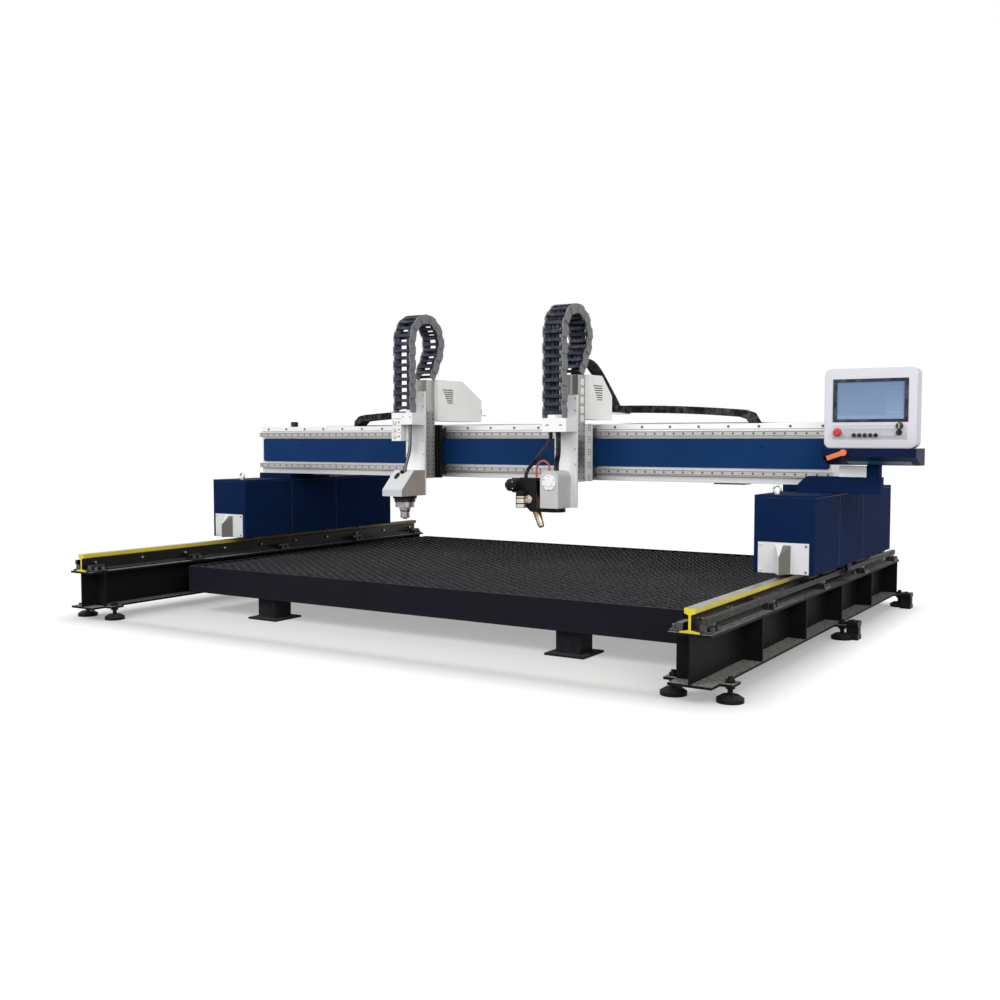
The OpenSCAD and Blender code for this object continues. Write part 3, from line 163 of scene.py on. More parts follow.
def makeWornEdges():
    tree, given, out = newGroup(
        "wornEdges",
        [("Colour", "Color", (0.5, 0.5, 0.5, 1)), ("Bare", "Color", (0.6, 0.6, 0.6, 1)), ("Amount", "Float", 0.5),
         ("Width", "Float", 0.004)],
        [("Colour", "Color"), ("Mask", "Float"), ("Normal", "Vector")],
    )
    rounded = feed(tree, add(tree, "Bevel", samples=4), Radius=given["Width"]).outputs[0]
    dot = add(tree, "VectorMath", operation="DOT_PRODUCT")
    feed(tree, dot, i0=rounded, i1=add(tree, "NewGeometry").outputs["True Normal"])
    edge = spread(tree, dot.outputs["Value"], 0.985, 0.8)
    chips = spread(tree, noise(tree, objectPoint(tree), 38.0, 5.0, 0.7), 0.45, 0.62)
    mask = maths(tree, "MULTIPLY", maths(tree, "MULTIPLY", edge, chips), given["Amount"], True)
    tree.links.new(mixColour(tree, mask, given["Colour"], given["Bare"]), out["Colour"])
    tree.links.new(mask, out["Mask"])
    tree.links.new(rounded, out["Normal"])
    return tree


def makeMillGrain():
    tree, given, out = newGroup(
        "millGrain",
        [("Colour", "Color", (0.6, 0.6, 0.6, 1)), ("Stretch", "Vector", (1, 1, 1)), ("Gloss", "Float", 0.35),
         ("Stain", "Float", 0.2)],
        [("Colour", "Color"), ("Roughness", "Float"), ("Height", "Float")],
    )
    point = objectPoint(tree)
    drawn = add(tree, "VectorMath", operation="MULTIPLY")
    feed(tree, drawn, i0=point, i1=given["Stretch"])
    lines = noise(tree, drawn.outputs[0], 1.0, 6.0, 0.6)
    cloud = spread(tree, noise(tree, point, 7.0, 5.0, 0.6), 0.4, 0.75)
    dark = mixColour(tree, 0.6, given["Colour"], (0.02, 0.018, 0.016, 1))
    tone = mixColour(tree, maths(tree, "MULTIPLY", cloud, given["Stain"], True), given["Colour"], dark)
    streak = mixColour(tree, spread(tree, lines, 0.35, 0.7, 0.0, 0.22), tone, dark)
    tree.links.new(streak, out["Colour"])
    sheen = spread(tree, lines, 0.3, 0.7, -0.08, 0.1)
    tree.links.new(maths(tree, "ADD", given["Gloss"], sheen, True), out["Roughness"])
    tree.links.new(lines, out["Height"])
    return tree


def makeMouldGrain():
    tree, given, out = newGroup(
        "mouldGrain",
        [("Colour", "Color", (0.05, 0.05, 0.05, 1)), ("Scale", "Float", 900.0), ("Gloss", "Float", 0.5)],
        [("Colour", "Color"), ("Roughness", "Float"), ("Height", "Float")],
    )
    point = objectPoint(tree)
    pits = feed(tree, add(tree, "TexVoronoi"), Vector=point, Scale=given["Scale"]).outputs["Distance"]
    cloud = noise(tree, point, 24.0, 4.0)
    pale = mixColour(tree, 0.12, given["Colour"], (0.6, 0.6, 0.6, 1))
    tree.links.new(mixColour(tree, spread(tree, cloud, 0.4, 0.75), given["Colour"], pale), out["Colour"])
    sheen = spread(tree, cloud, 0.3, 0.7, -0.08, 0.08)
    tree.links.new(maths(tree, "ADD", given["Gloss"], sheen, True), out["Roughness"])
    tree.links.new(pits, out["Height"])
    return tree


def makeFloorGrime():
    tree, given, out = newGroup(
        "floorGrime",
        [("Colour", "Color", (0.5, 0.5, 0.5, 1)), ("Reach", "Float", 0.2), ("Amount", "Float", 0.4)],
        [("Colour", "Color"), ("Mask", "Float")],
    )
    low = spread(tree, maths(tree, "DIVIDE", objectAxes(tree)[2], given["Reach"]), 0.0, 1.0, 1.0, 0.0)
    splash = spread(tree, noise(tree, objectPoint(tree), 22.0, 6.0, 0.65), 0.35, 0.7)
    mask = maths(tree, "MULTIPLY", maths(tree, "MULTIPLY", low, splash), given["Amount"], True)
    tree.links.new(mixColour(tree, mask, given["Colour"], (0.2, 0.18, 0.16, 1)), out["Colour"])
    tree.links.new(mask, out["Mask"])
    return tree


groups = {
    "paintFilm": makePaintFilm(), "wornEdges": makeWornEdges(), "millGrain": makeMillGrain(),
    "mouldGrain": makeMouldGrain(), "floorGrime": makeFloorGrime(),
}
print("node groups:", len(groups))


# materials
def newFinish(name, **fixed):
    material = bpy.data.materials.new(name)
    material.use_nodes = True
    shader = material.node_tree.nodes["Principled BSDF"]
    for key, value in fixed.items():
        shader.inputs[key.replace("_", " ")].default_value = value
    return material, material.node_tree, shader


def place(tree, name, **values):
    node = tree.nodes.new("ShaderNodeGroup")
    node.node_tree = groups[name]
    return feed(tree, node, **values).outputs


def addRelief(tree, shader, height, strength, distance, normal=None):
    bump = feed(tree, add(tree, "Bump"), Strength=strength, Distance=distance, Height=height)
    if normal is not None:
        tree.links.new(normal, bump.inputs["Normal"])
    tree.links.new(bump.outputs[0], shader.inputs["Normal"])


def rgb(*channels):
    return (*channels, 1.0)


relief = {"paint": 0.0004, "metal": 0.0006, "mould": 0.0003, "rail": 0.0005, "torch": 0.0005, "slat": 0.001}


def seal(tree, shader, colour, roughness, height, look, distance):
    # worn edges over the colour, then a fine relief
    worn = place(tree, "wornEdges", Colour=colour, Bare=rgb(*look["bare"]), Amount=look["wear"], Width=look["edge"])
    feed(tree, shader, **{"Base Color": worn["Colour"], "Roughness": roughness})
    addRelief(tree, shader, height, look["depth"], distance, worn["Normal"])


def paintFinish(name, look):
    material, tree, shader = newFinish(name, Metallic=0.0, Specular_IOR_Level=look.get("shine", 0.35))
    film = place(tree, "paintFilm", Colour=rgb(*look["colour"]), Gloss=look["gloss"], Dust=look["dust"],
                 Mottle=look["mottle"])
    colour = film["Colour"]
    if "grime" in look:
        reach, amount = look["grime"]
        colour = place(tree, "floorGrime", Colour=colour, Reach=reach, Amount=amount)["Colour"]
    seal(tree, shader, colour, film["Roughness"], film["Height"], look, relief["paint"])
    return material


def metalFinish(name, look):
    material, tree, shader = newFinish(name, Metallic=1.0)
    mill = place(tree, "millGrain", Colour=rgb(*look["colour"]), Stretch=look["stretch"], Gloss=look["gloss"],
                 Stain=look["stain"])
    seal(tree, shader, mill["Colour"], mill["Roughness"], mill["Height"], look, relief["metal"])
    return material


def mouldFinish(name, look):
    material, tree, shader = newFinish(name, Metallic=0.0, Specular_IOR_Level=look.get("shine", 0.3))
    grain = place(tree, "mouldGrain", Colour=rgb(*look["colour"]), Scale=look["scale"], Gloss=look["gloss"])
    seal(tree, shader, grain["Colour"], grain["Roughness"], grain["Height"], look, relief["mould"])
    return material


paintLooks = {
    "trackPaint": {"colour": (0.0085, 0.0083, 0.0092), "gloss": 0.5, "dust": 0.75, "mottle": 0.3, "grime": (0.1, 0.1),
                   "shine": 0.04, "bare": (0.07, 0.07, 0.072), "wear": 0.55, "edge": 0.003, "depth": 0.12},
    "apronPaint": {"colour": (0.0105, 0.0095, 0.0145), "gloss": 0.5, "dust": 0.1, "mottle": 0.3, "grime": (0.16, 0.1),
                   "shine": 0.05, "bare": (0.09, 0.09, 0.095), "wear": 0.5, "edge": 0.003, "depth": 0.12},
    "navyPaint": {"colour": (0.0056, 0.0178, 0.065), "gloss": 0.55, "dust": 0.05, "mottle": 0.25, "shine": 0.008,
                  "bare": (0.03, 0.045, 0.1), "wear": 0.4, "edge": 0.012, "depth": 0.08},
    "trayNavy": {"colour": (0.0048, 0.0125, 0.047), "gloss": 0.42, "dust": 0.02, "mottle": 0.2, "shine": 0.04,
                 "bare": (0.03, 0.06, 0.13), "wear": 0.5, "edge": 0.006, "depth": 0.06},
    "panelBlue": {"colour": (0.0062, 0.037, 0.128), "gloss": 0.46, "dust": 0.02, "mottle": 0.2, "shine": 0.05,
                  "bare": (0.05, 0.1, 0.22), "wear": 0.3, "edge": 0.003, "depth": 0.08},
    "whitePaint": {"colour": (0.88, 0.885, 0.9), "gloss": 0.42, "dust": 0.03, "mottle": 0.08, "bare": (0.5, 0.5, 0.5),
                   "wear": 0.3, "edge": 0.003, "depth": 0.1},
    "consoleWhite": {"colour": (0.66, 0.665, 0.705), "gloss": 0.38, "dust": 0.015, "mottle": 0.05,
                     "bare": (0.55, 0.55, 0.56), "wear": 0.12, "edge": 0.011, "depth": 0.06},
    "boxWhite": {"colour": (0.93, 0.93, 0.92), "gloss": 0.48, "dust": 0.06, "mottle": 0.12,
                 "bare": (0.45, 0.45, 0.44), "wear": 0.3, "edge": 0.003, "depth": 0.1},
    "warmWhite": {"colour": (0.93, 0.935, 0.905), "gloss": 0.45, "dust": 0.04, "mottle": 0.1,
                  "bare": (0.45, 0.45, 0.44), "wear": 0.35, "edge": 0.003, "depth": 0.12},
    "caseGrey": {"colour": (0.56, 0.56, 0.56), "gloss": 0.45, "dust": 0.05, "mottle": 0.14, "bare": (0.4, 0.4, 0.4),
                 "wear": 0.35, "edge": 0.006, "depth": 0.14},
    "plateGrey": {"colour": (0.3, 0.295, 0.285), "gloss": 0.42, "dust": 0.05, "mottle": 0.25,
                  "bare": (0.55, 0.55, 0.55), "wear": 0.5, "edge": 0.002, "depth": 0.1},
    # a pale blue for the painted highlight on the tray's underside
    "trimBlue": {"colour": (0.012, 0.09, 0.2), "gloss": 0.3, "dust": 0.02, "mottle": 0.2, "shine": 0.4,
                 "bare": (0.1, 0.25, 0.4), "wear": 0.4, "edge": 0.001, "depth": 0.06},
    "darkPaint": {"colour": (0.0105, 0.0105, 0.0115), "gloss": 0.45, "dust": 0.05, "mottle": 0.25, "shine": 0.08,
                  "bare": (0.16, 0.16, 0.16), "wear": 0.45, "edge": 0.003, "depth": 0.1},
    "armPaint": {"colour": (0.0125, 0.014, 0.0135), "gloss": 0.42, "dust": 0.05, "mottle": 0.3, "shine": 0.08,
                 "bare": (0.14, 0.14, 0.13), "wear": 0.4, "edge": 0.005, "depth": 0.14},
}
metalLooks = {
    "groundSteel": {"colour": (0.56, 0.56, 0.57), "stretch": (6, 260, 260), "gloss": 0.32, "stain": 0.3,
                    "bare": (0.75, 0.75, 0.76), "wear": 0.4, "edge": 0.002, "depth": 0.08},
    "guideSteel": {"colour": (0.5, 0.49, 0.48), "stretch": (3, 260, 260), "gloss": 0.34, "stain": 0.3,
                   "bare": (0.7, 0.7, 0.7), "wear": 0.4, "edge": 0.002, "depth": 0.06},
    "capSteel": {"colour": (0.13, 0.115, 0.1), "stretch": (60, 60, 60), "gloss": 0.45, "stain": 0.3,
                 "bare": (0.3, 0.3, 0.3), "wear": 0.3, "edge": 0.0005, "depth": 0.05},
    "rackSteel": {"colour": (0.06, 0.06, 0.065), "stretch": (90, 8, 240), "gloss": 0.42, "stain": 0.5,
                  "bare": (0.4, 0.4, 0.4), "wear": 0.5, "edge": 0.002, "depth": 0.1},
    "columnAlloy": {"colour": (0.48, 0.47, 0.45), "stretch": (220, 220, 2), "gloss": 0.4, "stain": 0.22,
                    "bare": (0.75, 0.75, 0.75), "wear": 0.4, "edge": 0.002, "depth": 0.06},
    "darkSteel": {"colour": (0.09, 0.088, 0.088), "stretch": (60, 60, 60), "gloss": 0.42, "stain": 0.4,
                  "bare": (0.4, 0.4, 0.4), "wear": 0.5, "edge": 0.002, "depth": 0.08},
    "castIron": {"colour": (0.14, 0.14, 0.15), "stretch": (120, 120, 120), "gloss": 0.5, "stain": 0.4,
                 "bare": (0.45, 0.45, 0.45), "wear": 0.4, "edge": 0.003, "depth": 0.15},
    "zincScrew": {"colour": (0.62, 0.63, 0.65), "stretch": (200, 200, 200), "gloss": 0.3, "stain": 0.2,
                  "bare": (0.8, 0.8, 0.82), "wear": 0.3, "edge": 0.001, "depth": 0.05},
    "paleBrass": {"colour": (0.72, 0.66, 0.54), "stretch": (120, 120, 200), "gloss": 0.34, "stain": 0.3,
                  "bare": (0.85, 0.8, 0.7), "wear": 0.4, "edge": 0.0015, "depth": 0.06},
}
mouldLooks = {
    "chainPlastic": {"colour": (0.008, 0.0085, 0.013), "scale": 700, "gloss": 0.5, "bare": (0.07, 0.07, 0.08),
                     "shine": 0.05, "wear": 0.5, "edge": 0.002, "depth": 0.15},
    # the upright chains' side plates take a mid grey as painted light on their outer faces
    "chainPlatePaintedLight": {"colour": (0.19, 0.192, 0.198), "scale": 700, "gloss": 0.42, "bare": (0.42, 0.42, 0.43),
                   "shine": 0.15, "wear": 0.8, "edge": 0.003, "depth": 0.15},
    "chainBar": {"colour": (0.02, 0.024, 0.046), "scale": 700, "gloss": 0.42, "bare": (0.2, 0.22, 0.28),
                 "shine": 0.08, "wear": 0.5, "edge": 0.002, "depth": 0.12},
    "cableSkin": {"colour": (0.009, 0.011, 0.02), "scale": 900, "gloss": 0.5, "bare": (0.08, 0.08, 0.09),
                  "shine": 0.08, "wear": 0.2, "edge": 0.001, "depth": 0.15},
    "knobPlastic": {"colour": (0.009, 0.009, 0.011), "scale": 1600, "gloss": 0.4, "bare": (0.1, 0.1, 0.1),
                    "shine": 0.25, "wear": 0.3, "edge": 0.0008, "depth": 0.1},
    "keyPlastic": {"colour": (0.78, 0.77, 0.78), "scale": 1600, "gloss": 0.42, "bare": (0.6, 0.6, 0.6), "wear": 0.2,
                   "edge": 0.0012, "depth": 0.05},
    "stripPlastic": {"colour": (0.5, 0.49, 0.53), "scale": 1200, "gloss": 0.5, "bare": (0.5, 0.5, 0.5), "wear": 0.1,
                     "edge": 0.0005, "depth": 0.05},
    "hoseRubber": {"colour": (0.009, 0.009, 0.011), "scale": 900, "gloss": 0.55, "bare": (0.05, 0.05, 0.05),
                   "shine": 0.08, "wear": 0.2, "edge": 0.001, "depth": 0.2},
    "orangeRubber": {"colour": (0.4, 0.085, 0.02), "scale": 900, "gloss": 0.5, "bare": (0.5, 0.22, 0.1), "wear": 0.2,
                     "edge": 0.001, "depth": 0.2},
    "redPlastic": {"colour": (0.66, 0.035, 0.026), "scale": 1500, "gloss": 0.28, "bare": (0.75, 0.2, 0.15),
                   "wear": 0.25, "edge": 0.001, "depth": 0.06},
    "orangePlastic": {"colour": (0.78, 0.16, 0.045), "scale": 1500, "gloss": 0.32, "bare": (0.85, 0.4, 0.25),
                      "wear": 0.3, "edge": 0.0015, "depth": 0.08},
    "bezelPlastic": {"colour": (0.006, 0.01, 0.03), "scale": 1500, "gloss": 0.4, "bare": (0.06, 0.07, 0.1),
                     "shine": 0.25, "wear": 0.2, "edge": 0.001, "depth": 0.06},
    "greenHose": {"colour": (0.012, 0.05, 0.03), "scale": 900, "gloss": 0.45, "bare": (0.05, 0.1, 0.07), "shine": 0.2,
                  "wear": 0.2, "edge": 0.001, "depth": 0.1},
    "greyHose": {"colour": (0.3, 0.31, 0.31), "scale": 900, "gloss": 0.4, "bare": (0.45, 0.45, 0.45), "shine": 0.3,
                 "wear": 0.2, "edge": 0.001, "depth": 0.1},
}
finishes = {name: paintFinish(name, look) for name, look in paintLooks.items()}
finishes.update({name: metalFinish(name, look) for name, look in metalLooks.items()})
finishes.update({name: mouldFinish(name, look) for name, look in mouldLooks.items()})


# rail: bare running face, yellow head and front end, black web and foot; the running face darkens towards the back as
# painted shade
railLook = {"yellow": (0.72, 0.57, 0.03), "steel": (0.5, 0.49, 0.46), "shadedSteel": (0.06, 0.058, 0.055),
            "black": (0.007, 0.0066, 0.0078), "headZ": 0.381, "topZ": 0.4085, "frontY": -1.8945, "fadeY": (-1.0, -0.45),
            "rubbed": 0.22, "bare": (0.4, 0.38, 0.3), "wear": 0.35, "edge": 0.003, "depth": 0.06}


def railFinish(look):
    material, tree, shader = newFinish("railPaint", Specular_IOR_Level=0.3)
    point = objectAxes(tree)
    head = maths(tree, "GREATER_THAN", point[2], look["headZ"])
    front = maths(tree, "LESS_THAN", point[1], look["frontY"])
    thin = spread(tree, point[1], *look["fadeY"], 1.0, look["rubbed"])  # rubbed thin where the carriage stands
    yellowMask = maths(tree, "MAXIMUM", maths(tree, "MULTIPLY", head, thin), front)
    running = maths(tree, "GREATER_THAN", point[2], look["topZ"])
    topMask = maths(tree, "MULTIPLY", running, maths(tree, "SUBTRACT", 1.0, front))
    yellow = place(tree, "paintFilm", Colour=rgb(*look["yellow"]), Gloss=0.4, Dust=0.05, Mottle=0.3)
    black = place(tree, "paintFilm", Colour=rgb(*look["black"]), Gloss=0.45, Dust=0.2, Mottle=0.3)
    # painted shade: the bare running face is darkened towards the back
    shadedRunningFace = mixColour(tree, spread(tree, point[1], *look["fadeY"]), rgb(*look["steel"]), rgb(*look["shadedSteel"]))
    face = place(tree, "millGrain", Colour=shadedRunningFace, Stretch=(240, 3, 240), Gloss=0.36, Stain=0.4)
    painted = mixColour(tree, yellowMask, black["Colour"], yellow["Colour"])
    colour = mixColour(tree, topMask, painted, face["Colour"])
    tree.links.new(topMask, shader.inputs["Metallic"])
    seal(tree, shader, colour, yellow["Roughness"], face["Height"], look, relief["rail"])
    return material


# beam: pale drawn alloy, darker along its lower edge as painted shade
beamLook = {"upper": (0.86, 0.86, 0.88), "lower": (0.72, 0.72, 0.74), "span": (0.9, 1.02),
            "bare": (0.92, 0.92, 0.94), "wear": 0.3, "edge": 0.003, "depth": 0.05}


def beamFinish(look):
    material, tree, shader = newFinish("beamAlloy", Metallic=0.6)
    # the lower band is mixed darker: painted shade
    height = spread(tree, objectAxes(tree)[2], *look["span"])
    tone = mixColour(tree, height, rgb(*look["lower"]), rgb(*look["upper"]))
    mill = place(tree, "millGrain", Colour=tone, Stretch=(1.2, 160, 160), Gloss=0.38, Stain=0.1)
    seal(tree, shader, mill["Colour"], mill["Roughness"], mill["Height"], look, relief["metal"])
    return material


# saddle: pale plate in front; behind it the bearing blocks are painted near black as shade
saddleLook = {"plate": (0.66, 0.66, 0.65), "blocks": (0.016, 0.016, 0.017), "backY": -0.2635,
              "bare": (0.5, 0.5, 0.5), "wear": 0.4, "edge": 0.002, "depth": 0.1}


def saddleFinish(look):
    material, tree, shader = newFinish("saddlePlate", Specular_IOR_Level=0.3)
    # behind the plate the colour goes near black: painted shade
    behind = maths(tree, "GREATER_THAN", objectAxes(tree)[1], look["backY"])
    tone = mixColour(tree, behind, rgb(*look["plate"]), rgb(*look["blocks"]))
    film = place(tree, "paintFilm", Colour=tone, Gloss=0.42, Dust=0.05, Mottle=0.15)
    seal(tree, shader, film["Colour"], film["Roughness"], film["Height"], look, relief["paint"])
    return material


# sheet parts with a darker side: the hood's right cheek and the ploughs' right faces take a brown-grey as painted shade
sheetEdge = {"bare": (0.5, 0.5, 0.5), "wear": 0.3, "edge": 0.003, "depth": 0.1}
hoodLook = {"white": (0.58, 0.585, 0.6), "shadedSide": (0.42, 0.365, 0.32), "cheekX": -0.4404, **sheetEdge}
ploughLook = {"white": (0.7, 0.705, 0.72), "shadedSide": (0.175, 0.162, 0.146), "railX": 2.0, "faceX": 0.0005,
              "middleY": 0.156, "noseY": 0.8285, **sheetEdge}


def sheetFinish(name, look, shadedSideMask):
    material, tree, shader = newFinish(name, Specular_IOR_Level=0.3)
    film = place(tree, "paintFilm", Colour=rgb(*look["white"]), Gloss=0.42, Dust=0.03, Mottle=0.08)
    mill = place(tree, "millGrain", Colour=rgb(*look["shadedSide"]), Stretch=(40, 40, 40), Gloss=0.45, Stain=0.35)
    # the brown-grey on the shaded side is painted shade
    tone = mixColour(tree, shadedSideMask(tree, objectAxes(tree), look), film["Colour"], mill["Colour"])
    seal(tree, shader, tone, film["Roughness"], film["Height"], look, relief["paint"])
    return material


def hoodShadedCheek(tree, point, look):
    return maths(tree, "GREATER_THAN", point[0], look["cheekX"])


def ploughShadedFace(tree, point, look):
    rail = maths(tree, "MULTIPLY", maths(tree, "SIGN", point[0]), look["railX"])
    right = maths(tree, "GREATER_THAN", maths(tree, "SUBTRACT", point[0], rail), look["faceX"])
    reach = maths(tree, "ABSOLUTE", maths(tree, "SUBTRACT", point[1], look["middleY"]))
    return maths(tree, "MULTIPLY", right, maths(tree, "GREATER_THAN", reach, look["noseY"]))


# plasma torches: a brass and a steel body, heat-browned towards the nozzle, dark tip and collar
torchLook = {"body": (0.62, 0.45, 0.22), "pale": (0.72, 0.62, 0.47), "brown": (0.3, 0.17, 0.09),
             "tip": (0.03, 0.024, 0.02),
             "brownZ": (0.7, 0.63), "tipZ": (0.587, 0.602), "collarZ": 0.815, "wear": 0.4,
             "edge": 0.0015, "depth": 0.06}
steelTorchLook = {**torchLook, "body": (0.34, 0.33, 0.33), "pale": (0.55, 0.53, 0.53), "brown": (0.3, 0.24, 0.23),
                  "brownZ": (0.63, 0.68), "tipZ": (0.604, 0.612), "collarZ": 0.716}


def torchFinish(name, look):
    material, tree, shader = newFinish(name, Metallic=0.85)
    height = objectAxes(tree)[2]
    tip = rgb(*look["tip"])
    mill = place(tree, "millGrain", Colour=rgb(*look["body"]), Stretch=(90, 90, 300), Gloss=0.34, Stain=0.35)
    patch = spread(tree, noise(tree, objectPoint(tree), 26.0, 4.0), 0.42, 0.6)
    body = mixColour(tree, maths(tree, "MULTIPLY", patch, 0.7), mill["Colour"], rgb(*look["pale"]))
    brownMask = spread(tree, height, *reversed(look["brownZ"]), 0.0, 0.75)
    browned = mixColour(tree, brownMask, body, rgb(*look["brown"]))
    burnt = mixColour(tree, spread(tree, height, *reversed(look["tipZ"])), browned, tip)
    collar = mixColour(tree, maths(tree, "GREATER_THAN", height, look["collarZ"]), burnt, tip)
    edges = {**look, "bare": look["pale"]}
    seal(tree, shader, collar, mill["Roughness"], mill["Height"], edges, relief["torch"])
    return material


# slats: scaled dark steel, paler and heat tinted at the tips
slatLook = {"steel": (0.028, 0.03, 0.034), "tip": (0.075, 0.078, 0.085), "tint": (0.045, 0.043, 0.042),
            "tipZ": (0.262, 0.298), "depth": 0.35}


def slatFinish(look):
    material, tree, shader = newFinish("slatSteel", Metallic=0.35)
    point = objectPoint(tree)
    mill = place(tree, "millGrain", Colour=rgb(*look["steel"]), Stretch=(3, 60, 40), Gloss=0.5, Stain=0.5)
    spatter = spread(tree, noise(tree, point, 46.0, 6.0, 0.7), 0.5, 0.66)
    patch = spread(tree, noise(tree, point, 4.0, 3.0), 0.45, 0.7, 0.0, 0.6)
    tinted = mixColour(tree, patch, mill["Colour"], rgb(*look["tint"]))
    tipMask = maths(tree, "MULTIPLY", spread(tree, objectAxes(tree)[2], *look["tipZ"]), spatter)
    colour = mixColour(tree, tipMask, tinted, rgb(*look["tip"]))
    feed(tree, shader, **{"Base Color": colour, "Roughness": mill["Roughness"]})
    addRelief(tree, shader, spatter, look["depth"], relief["slat"])
    return material


# display: a soft blue-grey picture of plain panes behind glass
screenLook = {"low": (0.21, 0.31, 0.45), "high": (0.125, 0.19, 0.32), "pane": (0.135, 0.21, 0.35),
              "line": (0.11, 0.16, 0.25),
              "centre": (2.337, 1.3203), "size": (0.356, 0.206), "paneEnd": 0.72, "paneUp": (0.12, 0.88),
              "paneShare": 0.45,
              "rows": 8.0, "rowShare": 0.12, "rowTone": 0.3, "glow": 0.12}


def screenFinish(look):
    material, tree, shader = newFinish("screenGlass", Roughness=0.16, Coat_Weight=0.15, Coat_Roughness=0.05,
                                       Metallic=0.0,
                                       Specular_IOR_Level=0.3, Emission_Strength=look["glow"])
    point = objectAxes(tree)
    across, up = [spread(tree, point[axis], centre - size / 2, centre + size / 2)
                  for axis, centre, size in zip((0, 2), look["centre"], look["size"])]
    field = mixColour(tree, up, rgb(*look["low"]), rgb(*look["high"]))
    left = maths(tree, "LESS_THAN", across, look["paneEnd"])
    above = maths(tree, "GREATER_THAN", up, look["paneUp"][0])
    below = maths(tree, "LESS_THAN", up, look["paneUp"][1])
    inPane = maths(tree, "MULTIPLY", left, maths(tree, "MULTIPLY", above, below))
    pane = mixColour(tree, maths(tree, "MULTIPLY", inPane, look["paneShare"]), field, rgb(*look["pane"]))
    rows = maths(tree, "LESS_THAN", maths(tree, "FRACT", maths(tree, "MULTIPLY", up, look["rows"])), look["rowShare"])
    side = maths(tree, "MULTIPLY", maths(tree, "SUBTRACT", 1.0, left), maths(tree, "MULTIPLY", rows, look["rowTone"]))
    picture = mixColour(tree, side, pane, rgb(*look["line"]))
    feed(tree, shader, **{"Base Color": picture, "Emission Color": picture})
    return material


finishes["railPaint"] = railFinish(railLook)
finishes["beamAlloy"] = beamFinish(beamLook)
finishes["saddlePlate"] = saddleFinish(saddleLook)
finishes["hoodSheet"] = sheetFinish("hoodSheet", hoodLook, hoodShadedCheek)
finishes["ploughSheet"] = sheetFinish("ploughSheet", ploughLook, ploughShadedFace)
finishes["torchBrass"] = torchFinish("torchBrass", torchLook)
finishes["torchSteel"] = torchFinish("torchSteel", steelTorchLook)
finishes["slatSteel"] = slatFinish(slatLook)
finishes["screenGlass"] = screenFinish(screenLook)
print("finishes:", len(finishes))

# each listed CAD node takes a finish
nodeFinish = {
    "trackPaint": ["track_beams"],
    "apronPaint": ["table_frame", "table_legs"],
    "railPaint": ["rails"],
    "darkSteel": ["rail_clamps", "drive_motors"],
    "rackSteel": ["racks", "pinion_left", "pinion_right"],
    "slatSteel": ["slats"],
    "navyPaint": ["carriage_shells", "beam_seats", "console_arm"],
    "trayNavy": ["console_tray"],
    "armPaint": ["bevel_arm"],
    "panelBlue": ["front_panel"],
    "whitePaint": ["left_lift", "right_lift"],
    "hoodSheet": ["left_hood"],
    "ploughSheet": ["sweeper_plates"],
    "consoleWhite": ["console_shell"],
    "boxWhite": ["junction_box"],
    "warmWhite": ["left_housing", "right_housing"],
    "caseGrey": ["bevel_gearbox"],
    "groundSteel": ["lifting_eyes", "wheel_axles"],
    "guideSteel": ["x_rails"],
    "beamAlloy": ["cross_beam", "chain_tray"],
    "columnAlloy": ["left_column", "right_column"],
    "saddlePlate": ["right_saddle"],
    # the left saddle takes the near-black paint as painted shade
    "darkPaint": ["left_saddle", "levelling_feet"],
    "hoseRubber": ["beam_stops"],
    "castIron": ["wheel_front_left", "wheel_front_right", "wheel_rear_left", "wheel_rear_right"],
    "screenGlass": ["console_screen"],
    "orangePlastic": ["tray_lever"],
    "redPlastic": ["estop_button"],
    "knobPlastic": ["selector_1", "selector_2", "selector_3", "selector_4", "selector_5", "key_switch"],
    "torchBrass": ["bevel_torch"],
    "torchSteel": ["left_torch"],
}
for finish, names in nodeFinish.items():
    for name in names:
        nodes[name].data.materials.clear()
        nodes[name].data.materials.append(finishes[finish])
print("nodes finished:", sum(len(names) for names in nodeFinish.values()))


# mesh helpers, all in metres in the CAD frame
def newPiece(name, mesh, body, finish, smooth=35.0):
    data = bpy.data.meshes.new(name)
    bmesh.ops.recalc_face_normals(mesh, faces=mesh.faces)
    mesh.to_mesh(data)
    mesh.free()
    for each in [finish] if isinstance(finish, str) else finish:
        data.materials.append(finishes[each])
    data.shade_smooth()
    data.set_sharp_from_angle(angle=math.radians(smooth))
    thing = bpy.data.objects.new(name, data)
    scene.collection.objects.link(thing)
    if body:
        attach(thing, body)
    return thing


def skin(mesh, loops, index):
    # faces between rings of points, closed at both ends
    faces = [mesh.faces.new(loops[0]), mesh.faces.new(loops[-1])]
    for one, two in zip(loops, loops[1:]):
        for k in range(len(one)):
            m = (k + 1) % len(one)
            faces.append(mesh.faces.new((one[k], one[m], two[m], two[k])))
    for face in faces:
        face.material_index = index


def fullTurn(sides):
    return [2 * math.pi * k / sides for k in range(sides)]


def roundedOutline(low, high, r, corners):
    # a flat rectangle with round corners
    centres = ((high[0] - r, high[1] - r), (low[0] + r, high[1] - r),
               (low[0] + r, low[1] + r), (high[0] - r, low[1] + r))
    points = []
    for quarter, (a, b) in enumerate(centres):
        for k in range(corners + 1):
            t = math.radians(90 * quarter + 90 * k / corners)
            points.append((a + r * math.cos(t), b + r * math.sin(t)))
    return points


def addPrism(mesh, outline, along, index=0):
    # outline points, moved by the vector along
    low = [mesh.verts.new(p) for p in outline]
    high = [mesh.verts.new(Vector(p) + Vector(along)) for p in outline]
    skin(mesh, [low, high], index)


